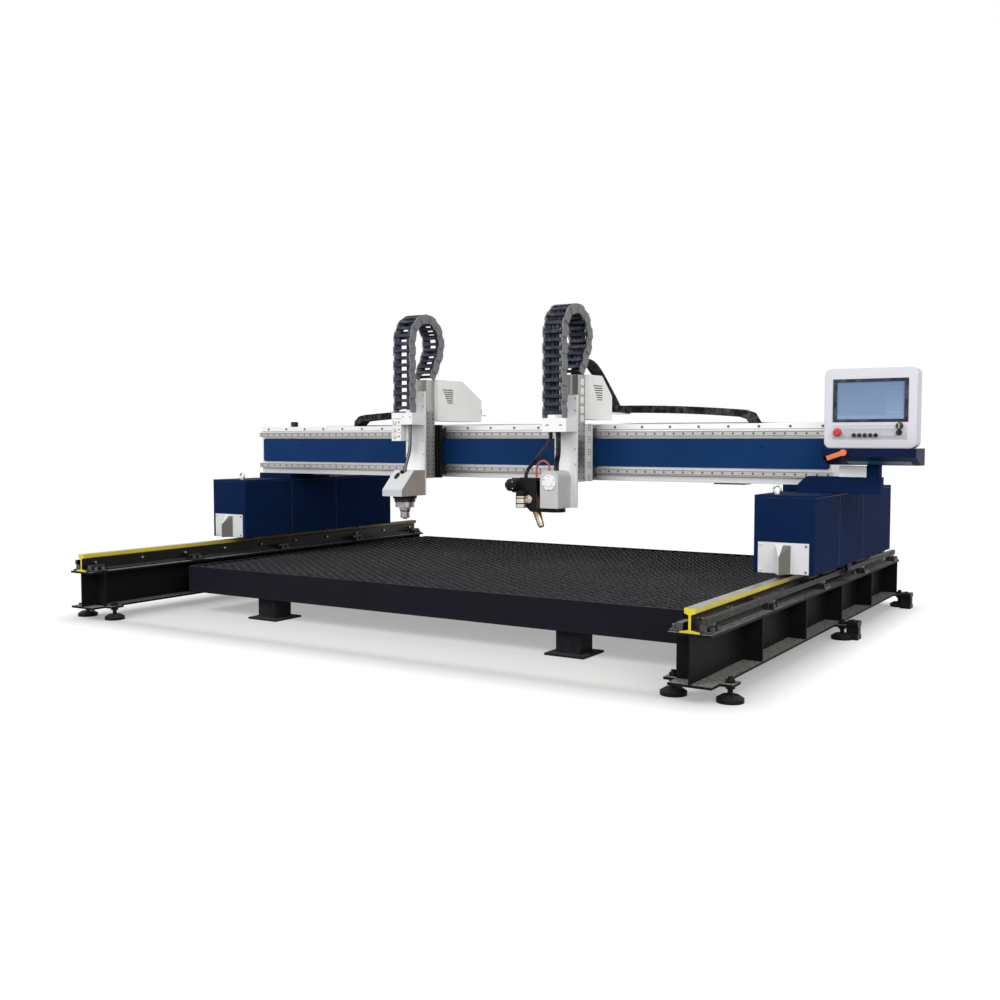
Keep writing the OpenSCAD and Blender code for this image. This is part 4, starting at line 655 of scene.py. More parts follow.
def addBlock(mesh, low, high, rounding=0.0, index=0):
    made = bmesh.ops.create_cube(mesh, size=1.0)["verts"]
    size = Vector(high) - Vector(low)
    for vert in made:
        vert.co = Vector(low) + Vector((vert.co.x + 0.5, vert.co.y + 0.5, vert.co.z + 0.5)) * size
    faces = {face for vert in made for face in vert.link_faces}
    if rounding > 0:
        edges = {edge for face in faces for edge in face.edges}
        grown = bmesh.ops.bevel(mesh, geom=list(edges), offset=rounding, segments=2, profile=0.5, affect="EDGES")
        faces = set(grown["faces"]) | {face for face in faces if face.is_valid}
    for face in faces:
        face.material_index = index


def addRod(mesh, a, b, radius, sides=24, endRadius=None, index=0, rounding=0.0):
    a, b = Vector(a), Vector(b)
    turn = (b - a).normalized().to_track_quat("Z", "Y").to_matrix()
    last = radius if endRadius is None else endRadius
    length = (b - a).length
    rings = [(0.0, radius), (length, last)]
    if rounding:
        rings = [(0.0, radius - rounding), (rounding, radius), (length - rounding, last), (length, last - rounding)]
    skin(mesh, [[mesh.verts.new(a + turn @ Vector((r * math.cos(t), r * math.sin(t), offset))) for t in fullTurn(sides)]
                for offset, r in rings], index)


def addTube(mesh, path, radius, sides=16, index=0):
    # a round tube along a list of points, kept from twisting
    points = [Vector(p) for p in path]
    normal, loops = None, []
    for i, point in enumerate(points):
        along = (points[min(i + 1, len(points) - 1)] - points[max(i - 1, 0)]).normalized()
        if normal is None:
            normal = along.orthogonal().normalized()
        normal = (normal - along * normal.dot(along)).normalized()
        other = along.cross(normal)
        loops.append([mesh.verts.new(point + radius * (math.cos(t) * normal + math.sin(t) * other))
                      for t in fullTurn(sides)])
    skin(mesh, loops, index)


def smoothPath(points, steps=6):
    # the same spline as the part's source
    points = [Vector(p) for p in points]
    last = len(points) - 1
    path = []
    for i in range(last):
        a, b, c, d = points[max(i - 1, 0)], points[i], points[i + 1], points[min(i + 2, last)]
        for k in range(steps):
            t = k / steps
            square = (2 * a - 5 * b + 4 * c - d) * t * t
            cube = (3 * b - a - 3 * c + d) * t ** 3
            path.append(0.5 * (2 * b + (c - a) * t + square + cube))
    return path + [points[last]]


def pathLength(path):
    return sum((b - a).length for a, b in zip(path, path[1:]))


def metres(points):
    return [Vector(p) / 1000 for p in points]


# cords: routes repeat part.scad's, in millimetres
cords = {
    "left_hoses": {
        "points": [(-474, -560, 1274), (-474, -560, 1246), (-472, -563, 1186), (-470, -566, 1126), (-472, -566, 1076),
                   (-480, -564, 1031), (-496, -561, 988), (-511, -558, 950), (-518, -558, 916), (-518, -558, 896)],
        "strands": {"run": ((-5, 2, 0), 0.012, "hoseRubber"), "green": ((6, 4, 0), 0.009, "greenHose"),
                    "grey": ((5, -6, 0), 0.008, "greyHose")},
        "slot": "hose_rubber", "body": "left_lift", "stiffness": "medium"},
    "right_duct": {
        # the bends are eased a little inside the source's thicker route
        "points": [(570, -270, 1505), (570, -270, 1520), (570, -263.9, 1550.6), (570, -246.6, 1576.6),
                   (570, -220.6, 1593.9),
                   (570, -190, 1600), (570, -150, 1597), (570, -110, 1587), (570, -70, 1569), (570, -30, 1546),
                   (570, 10, 1518.5), (570, 50, 1487.4), (570, 110, 1439.4), (570, 170, 1391.4), (570, 200, 1367.2),
                   (570, 226, 1343), (570, 246, 1317), (570, 258, 1290)],
        "strands": {"run": ((0, 0, 0), 0.02, "hoseRubber"), "inner": ((-22, 0, 0), 0.019, "hoseRubber"),
                    "outer": ((22, 0, 0), 0.02, "cableSkin"), "edge": ((44, 0, 0), 0.02, "hoseRubber")},
        "slot": "hose_rubber", "body": "right_saddle", "stiffness": "stiff"},
    "torch_lead": {
        "points": [(543, -523, 1160), (543, -523, 1146), (541, -523, 1126), (534, -523, 1106), (522, -523, 1087),
                   (501, -523, 1063), (479, -523, 1039), (457, -523, 1015), (435, -523, 991), (413, -523, 967),
                   (392, -523, 943), (379, -523, 924), (372, -523, 902), (372, -523, 886)],
        "strands": {"run": ((0, 0, 0), 0.022, "hoseRubber")}, "slot": "hose_rubber", "body": None, "stiffness": "stiff",
        "blend": ("right_lift", "bevel_arm", (0.54, -0.523, 1.1), (0.372, -0.523, 0.92))},
    "gearbox_cable": {
        "points": [(600, -540, 1160), (600, -540, 1135), (606, -550, 1090), (612, -562, 1040), (606, -560, 1005),
                   (594, -548, 978), (588, -540, 956), (588, -540, 932)],
        "strands": {"run": ((-8, 4, 0), 0.016, "hoseRubber"), "middle": ((8, 5, 0), 0.016, "hoseRubber"),
                    "front": ((1, -9, 0), 0.015, "cableSkin")},
        "slot": "hose_rubber", "body": "right_lift", "stiffness": "medium"},
    "bevel_hose": {
        "points": [(562, -570, 932), (562, -570, 940), (558, -569, 958), (544, -567, 978), (521, -564, 988),
                   (499, -561, 986), (476, -555, 970), (464, -552, 946), (460, -550, 922),
                   (460, -549, 900), (460, -549, 886)],
        "strands": {"run": ((0, 0, 0), 0.012, "orangeRubber")}, "slot": "orange_rubber", "body": None,
        "stiffness": "medium",
        "blend": ("right_lift", "bevel_arm", (0.55, -0.568, 0.965), (0.462, -0.551, 0.935))},
}
for name, cord in cords.items():
    for strand, (shift, diameter, finish) in cord["strands"].items():
        path = [p + Vector(shift) / 1000 for p in smoothPath(metres(cord["points"]))]
        mesh = bmesh.new()
        addTube(mesh, path, diameter / 2, sides=20)
        hose = newPiece(name + "_" + strand, mesh, cord["body"], finish, smooth=50)
        if "blend" in cord:
            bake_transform(hose)
        if strand == "run":
            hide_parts(name)
        print("cord", name, strand, round(pathLength(path), 3))


# cable chains: rows of links with side plates and cross bars
chainShape = {"plate": 0.006, "bar": 0.006, "barShare": 0.4, "growShare": 0.25, "gap": 0.0003,
              "pin": 0.011, "pinRise": 0.0015}


def addLink(mesh, a, b, width, thick, inner, toFrame):
    # a and b are pivots in the chain's plane; toFrame turns (across, along, up) into the CAD frame
    shape = chainShape
    d = Vector((b[0] - a[0], b[1] - a[1]))
    length = d.length
    turn = Matrix.Rotation(math.atan2(d.y, d.x), 2)
    half = width / 2 - (shape["plate"] + shape["gap"] if inner else 0.0)
    grow = length * shape["growShare"]
    corner = min(thick / 4, grow + length * 0.22)
    outline = roundedOutline((-grow, -thick / 2), (length + grow, thick / 2), corner, 6)

    def put(across, u, w):
        p = turn @ Vector((u, w))
        return toFrame(across, a[0] + p.x, a[1] + p.y)

    for side in (-1, 1):
        near, far = side * (half - shape["plate"]), side * half
        addPrism(mesh, [put(near, u, w) for u, w in outline], put(far, 0, 0) - put(near, 0, 0))
        if not inner:
            for u in (0.0, length):
                addRod(mesh, put(far, u, 0), put(far + side * shape["pinRise"], u, 0), shape["pin"], sides=14)
    reach = length * shape["barShare"] / 2
    inside = half - shape["plate"]
    for w in (-thick / 2, thick / 2 - shape["bar"]):
        corners = [put(-inside, length / 2 + u, w + v)
                   for u, v in ((-reach, 0.0), (reach, 0.0), (reach, shape["bar"]), (-reach, shape["bar"]))]
        addPrism(mesh, corners, put(inside, 0, 0) - put(-inside, 0, 0), index=1)


# upright chains: up from the lift's bracket, over a loop and down to the column at a slant
uprightChain = {"r": 0.158, "width": 0.14, "thick": 0.058, "links": 26, "frontY": -0.556, "topZ": 1.737,
                "backAngle": 29,
                "columnTop": 1.502, "blendZ": 1.6, "blendInset": 0.05}
uprightBack = math.radians(uprightChain["backAngle"])
uprightArc = uprightChain["r"] * (math.pi + uprightBack)


def uprightPoint(s, up):
    c = uprightChain
    if s < up:
        return c["frontY"], c["topZ"] - up + s
    if s < up + uprightArc:
        a = math.pi - (s - up) / c["r"]
        return c["frontY"] + c["r"] + c["r"] * math.cos(a), c["topZ"] + c["r"] * math.sin(a)
    d = s - up - uprightArc
    return (c["frontY"] + c["r"] + c["r"] * math.cos(uprightBack) - d * math.sin(uprightBack),
            c["topZ"] - c["r"] * math.sin(uprightBack) - d * math.cos(uprightBack))


def makeUprightChain(name, x, bracketZ, cables):
    c = uprightChain
    share = chainShape["growShare"]
    # the end links stand on the lift's bracket and, by one round corner, on the column
    corner = c["thick"] / 4
    drop = (c["r"] + c["thick"] / 2 - corner) * math.sin(uprightBack) + corner * (1 - math.cos(uprightBack))
    down = (c["topZ"] - drop - c["columnTop"]) / math.cos(uprightBack)
    step = (c["topZ"] - bracketZ + uprightArc + down) / (c["links"] + 2 * share)
    up = c["topZ"] - bracketZ - share * step
    end = down - share * step
    mesh = bmesh.new()
    for i in range(c["links"]):
        addLink(mesh, uprightPoint(i * step, up), uprightPoint((i + 1) * step, up), c["width"], c["thick"], i % 2 == 1,
                lambda across, along, height: Vector((x + across, along, height)))
    for across, radius in cables:
        route = [uprightPoint(up * 0.02 + (up + uprightArc + end) * 0.96 * k / 70, up) for k in range(71)]
        addTube(mesh, [(x + across, y, z) for y, z in route], radius, sides=10, index=2)
    # side plates in a mid grey of painted light
    chain = newPiece(name + "_links", mesh, None, ["chainPlatePaintedLight", "chainBar", "cableSkin"])
    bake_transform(chain)
    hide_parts(name)


makeUprightChain("left_z_chain", -0.518, 1.286, ((-0.047, 0.02), (0.043, 0.021)))
makeUprightChain("right_z_chain", 0.588, 1.240, ((-0.043, 0.016), (-0.012, 0.013), (0.017, 0.014), (0.047, 0.011)))

# level chains: out from the saddle, round a bend and back along the tray
levelChain = {"r": 0.096, "bend": 0.078, "sag": 0.036, "width": 0.1, "thick": 0.046, "y": 0.272, "topZ": 1.311,
              "low": 0.7,
              "cables": ((-0.026, 0.014), (0.0, 0.01), (0.025, 0.013)), "cableEnd": 0.4}


def makeLevelChain(name, x, run, links, way):
    c = levelChain
    arc = math.pi * c["bend"]
    step = (run + arc + c["low"]) / links
    lowZ = c["topZ"] - 2 * c["r"]

    def at(s):
        if s < run:
            return s, c["topZ"] - c["sag"] * (s / run) ** 2
        if s < run + arc:
            a = math.pi / 2 - (s - run) / c["bend"]
            return run + c["bend"] * math.cos(a), lowZ + c["bend"] + c["bend"] * math.sin(a)
        return 2 * run + arc - s, lowZ

    # two pieces, split at the middle of the bend: the upper run and the lower return; on the machine the upper run
    # draws in and out with the saddle and the bend's middle moves half as far, but still and moved are not used here
    middle, foot = run + c["bend"], run - c["low"]
    turn = round((run + arc / 2) / step)
    for part, first, last, still, moved in (("_links", 0, turn, 2 * middle, 0.0),
                                            ("_return", turn, links, foot, 2 * middle - foot)):
        mesh = bmesh.new()
        for i in range(first, last):
            addLink(mesh, at(i * step), at((i + 1) * step), c["width"], c["thick"], i % 2 == 1,
                    lambda across, along, height: Vector((x + way * along, c["y"] + across, height)))
        start, stop = max(first, c["cableEnd"]), min(last, links - c["cableEnd"])
        for across, radius in c["cables"]:
            route = [at(step * (start + (stop - start) * k / 60)) for k in range(61)]
            addTube(mesh, [(x + way * along, c["y"] + across, height) for along, height in route], radius, sides=10,
                    index=2)
        chain = newPiece(name + part, mesh, None, ["chainPlastic", "chainPlastic", "cableSkin"])
        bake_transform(chain)
        if first == 0:
            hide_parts(name)


makeLevelChain("left_x_chain", -0.518, 0.985, 38, -1)
makeLevelChain("right_x_chain", 0.6, 0.84, 34, 1)
print("cable chains made")


# small fittings, each on the face that carries it
forward, rightward, upward = (0, -1, 0), (1, 0, 0), (0, 0, 1)


def spaced(low, high, pitch):
    count = max(1, round((high - low) / pitch))
    return [low + (high - low) * k / count for k in range(count + 1)]


def ringOf(x, z, radius, count, first):
    angles = [math.radians(first + 360 * k / count) for k in range(count)]
    return [(x + radius * math.cos(a), z + radius * math.sin(a)) for a in angles]


def addStud(mesh, foot, facing, radius, rise, **more):
    addRod(mesh, foot, Vector(foot) + Vector(facing) * rise, radius, **more)


def addHead(mesh, foot, facing, radius, rise, sides=12, index=0):
    addStud(mesh, foot, facing, radius, rise, sides=sides, index=index, rounding=min(rise, radius) * 0.25)


# guide rails: dark hole caps, and dark strips of painted shade along the ball grooves
guideMarks = {"levels": (0.9241, 1.1499), "faceY": -0.231, "capX": 2.1, "pitch": 0.06, "cap": 0.0068,
              "grooveX": 2.125, "grooves": (-0.0125, 0.0105), "groove": 0.0026, "proud": 0.0002}
mesh = bmesh.new()
face, half = guideMarks["faceY"], guideMarks["groove"] / 2
for z in guideMarks["levels"]:
    for x in spaced(-guideMarks["capX"], guideMarks["capX"], guideMarks["pitch"]):
        addStud(mesh, (x, face, z), forward, guideMarks["cap"], guideMarks["proud"], sides=10)
    # dark strips along the ball grooves: painted shade
    for dz in guideMarks["grooves"]:
        addBlock(mesh, (-guideMarks["grooveX"], face - guideMarks["proud"], z + dz - half),
                 (guideMarks["grooveX"], face, z + dz + half))
newPiece("guide_marks", mesh, "gantry", "capSteel")

# beam: dark lines of painted shadow beside the guide rails, and a row of screws along the upper edge
beamShadowsAndScrews = {"faceY": -0.203, "lines": (0.8995, 1.1735), "lineX": 2.12, "height": 0.003, "proud": 0.0006,
             "screwX": 2.06, "screwZ": 1.19, "pitch": 0.18, "screw": (0.0075, 0.004)}
mesh = bmesh.new()
face = beamShadowsAndScrews["faceY"]
# dark lines above the upper rail and below the lower one: painted shadow
for z in beamShadowsAndScrews["lines"]:
    addBlock(mesh, (-beamShadowsAndScrews["lineX"], face - beamShadowsAndScrews["proud"], z),
             (beamShadowsAndScrews["lineX"], face, z + beamShadowsAndScrews["height"]))
for x in spaced(-beamShadowsAndScrews["screwX"], beamShadowsAndScrews["screwX"], beamShadowsAndScrews["pitch"]):
    addHead(mesh, (x, face, beamShadowsAndScrews["screwZ"]), forward, *beamShadowsAndScrews["screw"])
newPiece("beam_shadow_lines_and_screws", mesh, "gantry", "capSteel")
print("beam marked")

# columns: screw rows and windows on the right one, dots on its plate; on the left one a grey strip of painted shade
# over its side face, with screws
columnMarks = {"faceX": 0.66, "rows": (-0.389, -0.327), "z": (0.885, 1.205), "pitch": 0.036, "dot": (0.0052, 0.0012)}
mesh = bmesh.new()
for y in columnMarks["rows"]:
    for z in spaced(*columnMarks["z"], columnMarks["pitch"]):
        addHead(mesh, (columnMarks["faceX"], y, z), rightward, *columnMarks["dot"])
newPiece("right_column_screws", mesh, "right_saddle", "knobPlastic")

columnWindows = {"faceX": 0.66, "levels": (1.2404, 1.2948, 1.3515, 1.4052, 1.4588), "centreY": -0.352, "half": 0.021,
                 "corner": 0.009, "proud": 0.0008}
mesh = bmesh.new()
y, half = columnWindows["centreY"], columnWindows["half"]
for z in columnWindows["levels"]:
    outline = roundedOutline((y - half, z - half), (y + half, z + half), columnWindows["corner"], 5)
    addPrism(mesh, [(columnWindows["faceX"], *point) for point in outline], (columnWindows["proud"], 0, 0))
newPiece("right_column_windows", mesh, "right_saddle", "whitePaint")

plateHoles = {"faceY": -0.283, "columns": (0.6675, 0.679), "groups": (0.885, 0.96, 1.04, 1.115, 1.185),
              "steps": (-0.015, 0.0, 0.015), "dot": (0.0034, 0.0008)}
mesh = bmesh.new()
for z in plateHoles["groups"]:
    for step in plateHoles["steps"]:
        for x in plateHoles["columns"]:
            addHead(mesh, (x, plateHoles["faceY"], z + step), forward, *plateHoles["dot"], sides=10)
newPiece("right_plate_holes", mesh, "right_saddle", "knobPlastic")

columnShadeStrip = {"faceX": -0.458, "thick": 0.0012, "y": (-0.4, -0.317), "z": (0.868, 1.3), "rounding": 0.0005,
               "rows": (-0.386, -0.333), "margin": 0.02, "pitch": 0.03, "dot": (0.0055, 0.0015)}
mesh = bmesh.new()
(y0, y1), (z0, z1), margin = columnShadeStrip["y"], columnShadeStrip["z"], columnShadeStrip["margin"]
front = columnShadeStrip["faceX"] + columnShadeStrip["thick"]
# a grey strip over the left column's side face: painted shade
addBlock(mesh, (columnShadeStrip["faceX"], y0, z0), (front, y1, z1), columnShadeStrip["rounding"])
for y in columnShadeStrip["rows"]:
    for z in spaced(z0 + margin, z1 - margin, columnShadeStrip["pitch"]):
        addHead(mesh, (front, y, z), rightward, *columnShadeStrip["dot"], index=1)
newPiece("left_column_shade_strip", mesh, "left_saddle", ["plateGrey", "knobPlastic"])
print("columns fitted")

# lifts: slots and screws on the brackets, fittings on the valve box
bracketMarks = {"faceY": -0.588, "slotX": (0.555, 0.645), "slotZ": 1.2, "slot": (0.011, 0.0028), "proud": 0.0006,
                "rounding": 0.0002}
mesh = bmesh.new()
(long, tall), face, z = bracketMarks["slot"], bracketMarks["faceY"], bracketMarks["slotZ"]
for x in bracketMarks["slotX"]:
    addBlock(mesh, (x - long, face - bracketMarks["proud"], z - tall),
             (x + long, face, z + tall), bracketMarks["rounding"])
newPiece("right_bracket_slots", mesh, "right_lift", "knobPlastic")

plateScrews = {"faceY": -0.446, "screw": (0.006, 0.006), "left": ((-0.585, -0.451), (1.02, 1.11, 1.33, 1.4)),
               "right": ((0.533, 0.667), (0.97, 1.06, 1.29, 1.36))}
for side in ("left", "right"):
    mesh = bmesh.new()
    columns, levels = plateScrews[side]
    for x in columns:
        for z in levels:
            addHead(mesh, (x, plateScrews["faceY"], z), forward, *plateScrews["screw"], sides=6)
    newPiece(side + "_plate_screws", mesh, side + "_lift", "zincScrew")

valveFittings = {"levels": (1.136, 1.181, 1.226), "sideX": -0.6, "stubY": -0.56, "stub": (0.011, 0.014),
                 "frontY": -0.588,
                 "capX": -0.575, "cap": (0.015, 0.006), "dotX": -0.541, "dot": (0.006, 0.003),
                 "lineX": (-0.6, -0.524), "lineUp": (0.0205, 0.0235), "lineProud": 0.0006}
mesh = bmesh.new()
front, (x0, x1), (dz0, dz1) = (valveFittings[key] for key in ("frontY", "lineX", "lineUp"))
for z in valveFittings["levels"]:
    addStud(mesh, (valveFittings["sideX"], valveFittings["stubY"], z), (-1, 0, 0), *valveFittings["stub"],
            sides=18, rounding=0.002)
    addStud(mesh, (valveFittings["capX"], front, z), forward, *valveFittings["cap"], sides=18, rounding=0.0015)
    addStud(mesh, (valveFittings["dotX"], front, z), forward, *valveFittings["dot"], sides=12, index=1)
    addBlock(mesh, (x0, front - valveFittings["lineProud"], z + dz0), (x1, front, z + dz1), index=1)
newPiece("valve_fittings", mesh, "left_lift", ["paleBrass", "plateGrey"])

# left bracket: a bent sheet apron under its ledge
bracketApron = {"x": (-0.524, -0.436), "y": (-0.588, -0.4901), "z": (1.21, 1.274), "sheet": 0.003,
                "screw": (0.005, 0.003), "inset": (0.016, 0.014)}
mesh = bmesh.new()
(x0, x1), (y0, y1), (z0, z1), sheet = (bracketApron[key] for key in ("x", "y", "z", "sheet"))
bend = [(x0, y0), (x1 - sheet, y0), (x1, y0 + sheet), (x1, y1), (x1 - sheet, y1),
        (x1 - sheet, y0 + sheet), (x0, y0 + sheet)]
addPrism(mesh, [(x, y, z0) for x, y in bend], (0, 0, z1 - z0))
inset, drop = bracketApron["inset"]
for x in (x0 + inset, x1 - inset):
    addHead(mesh, (x, y0, z1 - drop), forward, *bracketApron["screw"], index=1)
newPiece("left_bracket_apron", mesh, "left_lift", ["whitePaint", "plateGrey"])

# left torch: a dark flange under the hood and a straight sleeve round the nozzle; each radius, low z and high z
torchDress = {"axis": (-0.518, -0.558), "flange": (0.077, 0.737, 0.7545), "sleeve": (0.0295, 0.612, 0.652),
              "lip": (0.0305, 0.618, 0.626), "rounding": 0.0015}
mesh = bmesh.new()
x, y = torchDress["axis"]
for part, index in (("flange", 0), ("sleeve", 1), ("lip", 1)):
    r, z0, z1 = torchDress[part]
    addRod(mesh, (x, y, z0), (x, y, z1), r, sides=48, rounding=torchDress["rounding"], index=index)
newPiece("left_torch_dress", mesh, "left_lift", ["armPaint", "torchSteel"])

# hood: a dark grommet on its sloping face
hoodGrommet = {"place": (-0.5455, -0.6035, 0.882), "slope": (0.0, -0.693, 0.721), "long": 0.028,
               "short": 0.017, "rise": 0.003}
mesh = bmesh.new()
slope = Vector(hoodGrommet["slope"])
across, up = hoodGrommet["short"] * Vector(rightward), hoodGrommet["long"] * Vector((0.0, slope.z, -slope.y))
ring = [Vector(hoodGrommet["place"]) + math.cos(t) * across + math.sin(t) * up for t in fullTurn(28)]
addPrism(mesh, ring, slope * hoodGrommet["rise"])
newPiece("hood_grommet", mesh, "left_lift", "hoseRubber")

# bevel head: round cover on the gear case, sleeve and fittings on the arm
gearCover = {"centre": (0.575, -0.6, 0.862), "radius": 0.046, "rise": 0.005, "hubShare": 0.55, "hubRise": 0.003,
             "bolts": 6, "firstBolt": 30, "boltRing": 0.038, "bolt": (0.0048, 0.004)}
mesh = bmesh.new()
cx, cy, cz = gearCover["centre"]
front = cy - gearCover["rise"]
addStud(mesh, (cx, cy, cz), forward, gearCover["radius"], gearCover["rise"], sides=48, rounding=0.0015)
addStud(mesh, (cx, front, cz), forward, gearCover["radius"] * gearCover["hubShare"], gearCover["hubRise"],
        sides=40, rounding=0.001)
for x, z in ringOf(cx, cz, gearCover["boltRing"], gearCover["bolts"], gearCover["firstBolt"]):
    addHead(mesh, (x, front, z), forward, *gearCover["bolt"], sides=6, index=1)
newPiece("gear_cover", mesh, "right_lift", ["whitePaint", "zincScrew"])

sensorSleeve = {"axis": (0.382, -0.597), "radius": 0.0328, "z": (0.7088, 0.781),
                "bands": ((0.733, 0.739), (0.765, 0.771)),
                "band": 0.0338}
mesh = bmesh.new()
x, y = sensorSleeve["axis"]
z0, z1 = sensorSleeve["z"]
addRod(mesh, (x, y, z0), (x, y, z1), sensorSleeve["radius"], sides=40, rounding=0.003)
for z0, z1 in sensorSleeve["bands"]:
    addRod(mesh, (x, y, z0), (x, y, z1), sensorSleeve["band"], sides=40, index=1, rounding=0.001)
newPiece("sensor_sleeve", mesh, "bevel_arm", ["paleBrass", "armPaint"])

pivotCaps = {"axis": (0.42, 0.7597), "faces": (-0.577, -0.469), "flange": (0.025, 0.004), "hex": (0.015, 0.007)}
mesh = bmesh.new()
x, z = pivotCaps["axis"]
for face, way in zip(pivotCaps["faces"], (-1, 1)):
    addStud(mesh, (x, face, z), (0, way, 0), *pivotCaps["flange"], sides=32, rounding=0.001)
    addStud(mesh, (x, face + way * pivotCaps["flange"][1], z), (0, way, 0), *pivotCaps["hex"], sides=6, rounding=0.0012)
newPiece("pivot_caps", mesh, "bevel_arm", "paleBrass")

# bevel torch: a stout shield over its nose; each step from one radius and depth to the next
torchShield = {"pivot": (0.42, -0.523, 0.7597), "lean": 20.0,
               "steps": ((0.0265, -0.064, 0.0265, -0.076), (0.0252, -0.076, 0.0205, -0.15),
                         (0.0218, -0.15, 0.0205, -0.16),
                         (0.0198, -0.16, 0.0185, -0.172), (0.0185, -0.172, 0.012, -0.1795))}
mesh = bmesh.new()
lean = math.radians(torchShield["lean"])
pivot, axis = Vector(torchShield["pivot"]), Vector((-math.sin(lean), 0, math.cos(lean)))
for r0, d0, r1, d1 in torchShield["steps"]:
    addRod(mesh, pivot + axis * d0, pivot + axis * d1, r0, sides=40, endRadius=r1)
newPiece("bevel_torch_shield", mesh, "bevel_torch", "torchBrass")

motorCap = {"axis": (0.337, 0.8457), "endY": -0.649, "steps": ((0.037, 0.0), (0.034, 0.006), (0.022, 0.014)),
            "shrink": 0.985,
            "screws": 4, "firstScrew": 45, "ring": 0.029, "seat": 0.008, "screw": (0.0036, 0.004)}
mesh = bmesh.new()
(x, z), end = motorCap["axis"], motorCap["endY"]
for (r0, d0), (r1, d1) in zip(motorCap["steps"], motorCap["steps"][1:]):
    addRod(mesh, (x, end - d0, z), (x, end - d1, z), r0 * motorCap["shrink"], sides=36, endRadius=r1)
for sx, sz in ringOf(x, z, motorCap["ring"], motorCap["screws"], motorCap["firstScrew"]):
    addHead(mesh, (sx, end - motorCap["seat"], sz), forward, *motorCap["screw"], sides=8, index=1)
newPiece("tilt_motor_cap", mesh, "bevel_arm", ["armPaint", "zincScrew"])
print("heads fitted")

# console: dark screen frame, key strip, collars and a cap above the key switch
consoleY = -0.3216
screenFrame = {"outer": (2.1455, 2.5285, 1.2075, 1.4325), "inner": (2.1655, 2.5085, 1.2225, 1.4175), "proud": 0.004,
               "sunk": 0.003, "rounding": 0.0012}
mesh = bmesh.new()
x0, x1, z0, z1 = screenFrame["outer"]
sx0, sx1, sz0, sz1 = screenFrame["inner"]
for left, right, low, high in ((x0, x1, sz1, z1), (x0, x1, z0, sz0), (x0, sx0, sz0, sz1), (sx1, x1, sz0, sz1)):
    addBlock(mesh, (left, consoleY - screenFrame["proud"], low), (right, consoleY + screenFrame["sunk"], high),
             screenFrame["rounding"])
newPiece("screen_frame", mesh, "console", "bezelPlastic")

keyStrip = {"x": (2.146, 2.524), "z": (1.1168, 1.1925), "proud": 0.0008, "rounding": 0.0003, "rows": (1.138, 1.172),
            "keyX": (2.212, 2.452), "columns": 11, "key": (0.007, 0.0062), "keyProud": 0.0035, "keyRounding": 0.0011,
            "gapX": (2.235, 2.392), "gapTop": 1.15}
mesh = bmesh.new()
(x0, x1), (z0, z1), (first, last), (gap0, gap1) = (keyStrip[key] for key in ("x", "z", "keyX", "gapX"))
front = consoleY - keyStrip["proud"]
addBlock(mesh, (x0, front, z0), (x1, consoleY, z1), keyStrip["rounding"])
for z in keyStrip["rows"]:
    for k in range(keyStrip["columns"]):
        x = first + (last - first) * k / (keyStrip["columns"] - 1)
        if z < keyStrip["gapTop"] and gap0 < x < gap1:  # the selectors stand here
            continue
        wide, tall = keyStrip["key"]
        addBlock(mesh, (x - wide, consoleY - keyStrip["keyProud"], z - tall), (x + wide, front, z + tall),
                 keyStrip["keyRounding"], index=1)
newPiece("key_strip", mesh, "console", ["stripPlastic", "keyPlastic"])

# each collar's x, z, radius and rise
knobCollars = {"selectors": (2.257, 2.285, 2.313, 2.341, 2.369), "selectorZ": 1.1383, "selector": (0.0122, 0.0022),
               "estop": (2.171, 1.1543, 0.0235, 0.003), "key": (2.485, 1.1523, 0.0155, 0.004),
               "port": (2.487, 1.1865, 0.0185, 0.012), "portTaper": 0.92, "grip": (0.007, 0.9),
               "gripProud": (0.022, 0.011)}
mesh = bmesh.new()
for x in knobCollars["selectors"]:
    addStud(mesh, (x, consoleY, knobCollars["selectorZ"]), forward, *knobCollars["selector"], sides=28, rounding=0.0006)
x, z, r, rise = knobCollars["estop"]
addStud(mesh, (x, consoleY, z), forward, r, rise, sides=36, rounding=0.0008)
x, z, r, rise = knobCollars["key"]
addStud(mesh, (x, consoleY, z), forward, r, rise, sides=32, rounding=0.001, index=1)
x, z, r, rise = knobCollars["port"]
addStud(mesh, (x, consoleY, z), forward, r, rise, sides=32, endRadius=r * knobCollars["portTaper"],
        rounding=0.002, index=1)
wide, tall = knobCollars["grip"][0], r * knobCollars["grip"][1]
front, back = (consoleY - proud for proud in knobCollars["gripProud"])
addBlock(mesh, (x - wide, front, z - tall), (x + wide, back, z + tall), 0.003, index=1)
newPiece("knob_collars", mesh, "console", ["plateGrey", "knobPlastic"])

# a pale blue strip on the tray's sloping underside, clear of the lever: a painted highlight
trayHighlight = {"front": (-0.4416, 1.0263), "back": (-0.3216, 0.9823), "share": (0.46, 0.88),
            "x": (2.24, 2.56), "proud": 0.002}
mesh = bmesh.new()
x0, x1 = trayHighlight["x"]
front, back = (Vector((x0, *trayHighlight[end])) for end in ("front", "back"))
out = (back - front).cross(Vector(rightward)).normalized() * trayHighlight["proud"]
upper, lower = (front.lerp(back, share) for share in trayHighlight["share"])
addPrism(mesh, [upper, lower, lower + out, upper + out], (x1 - x0, 0, 0))
newPiece("tray_highlight_strip", mesh, "console", "trimBlue")
print("console fitted")

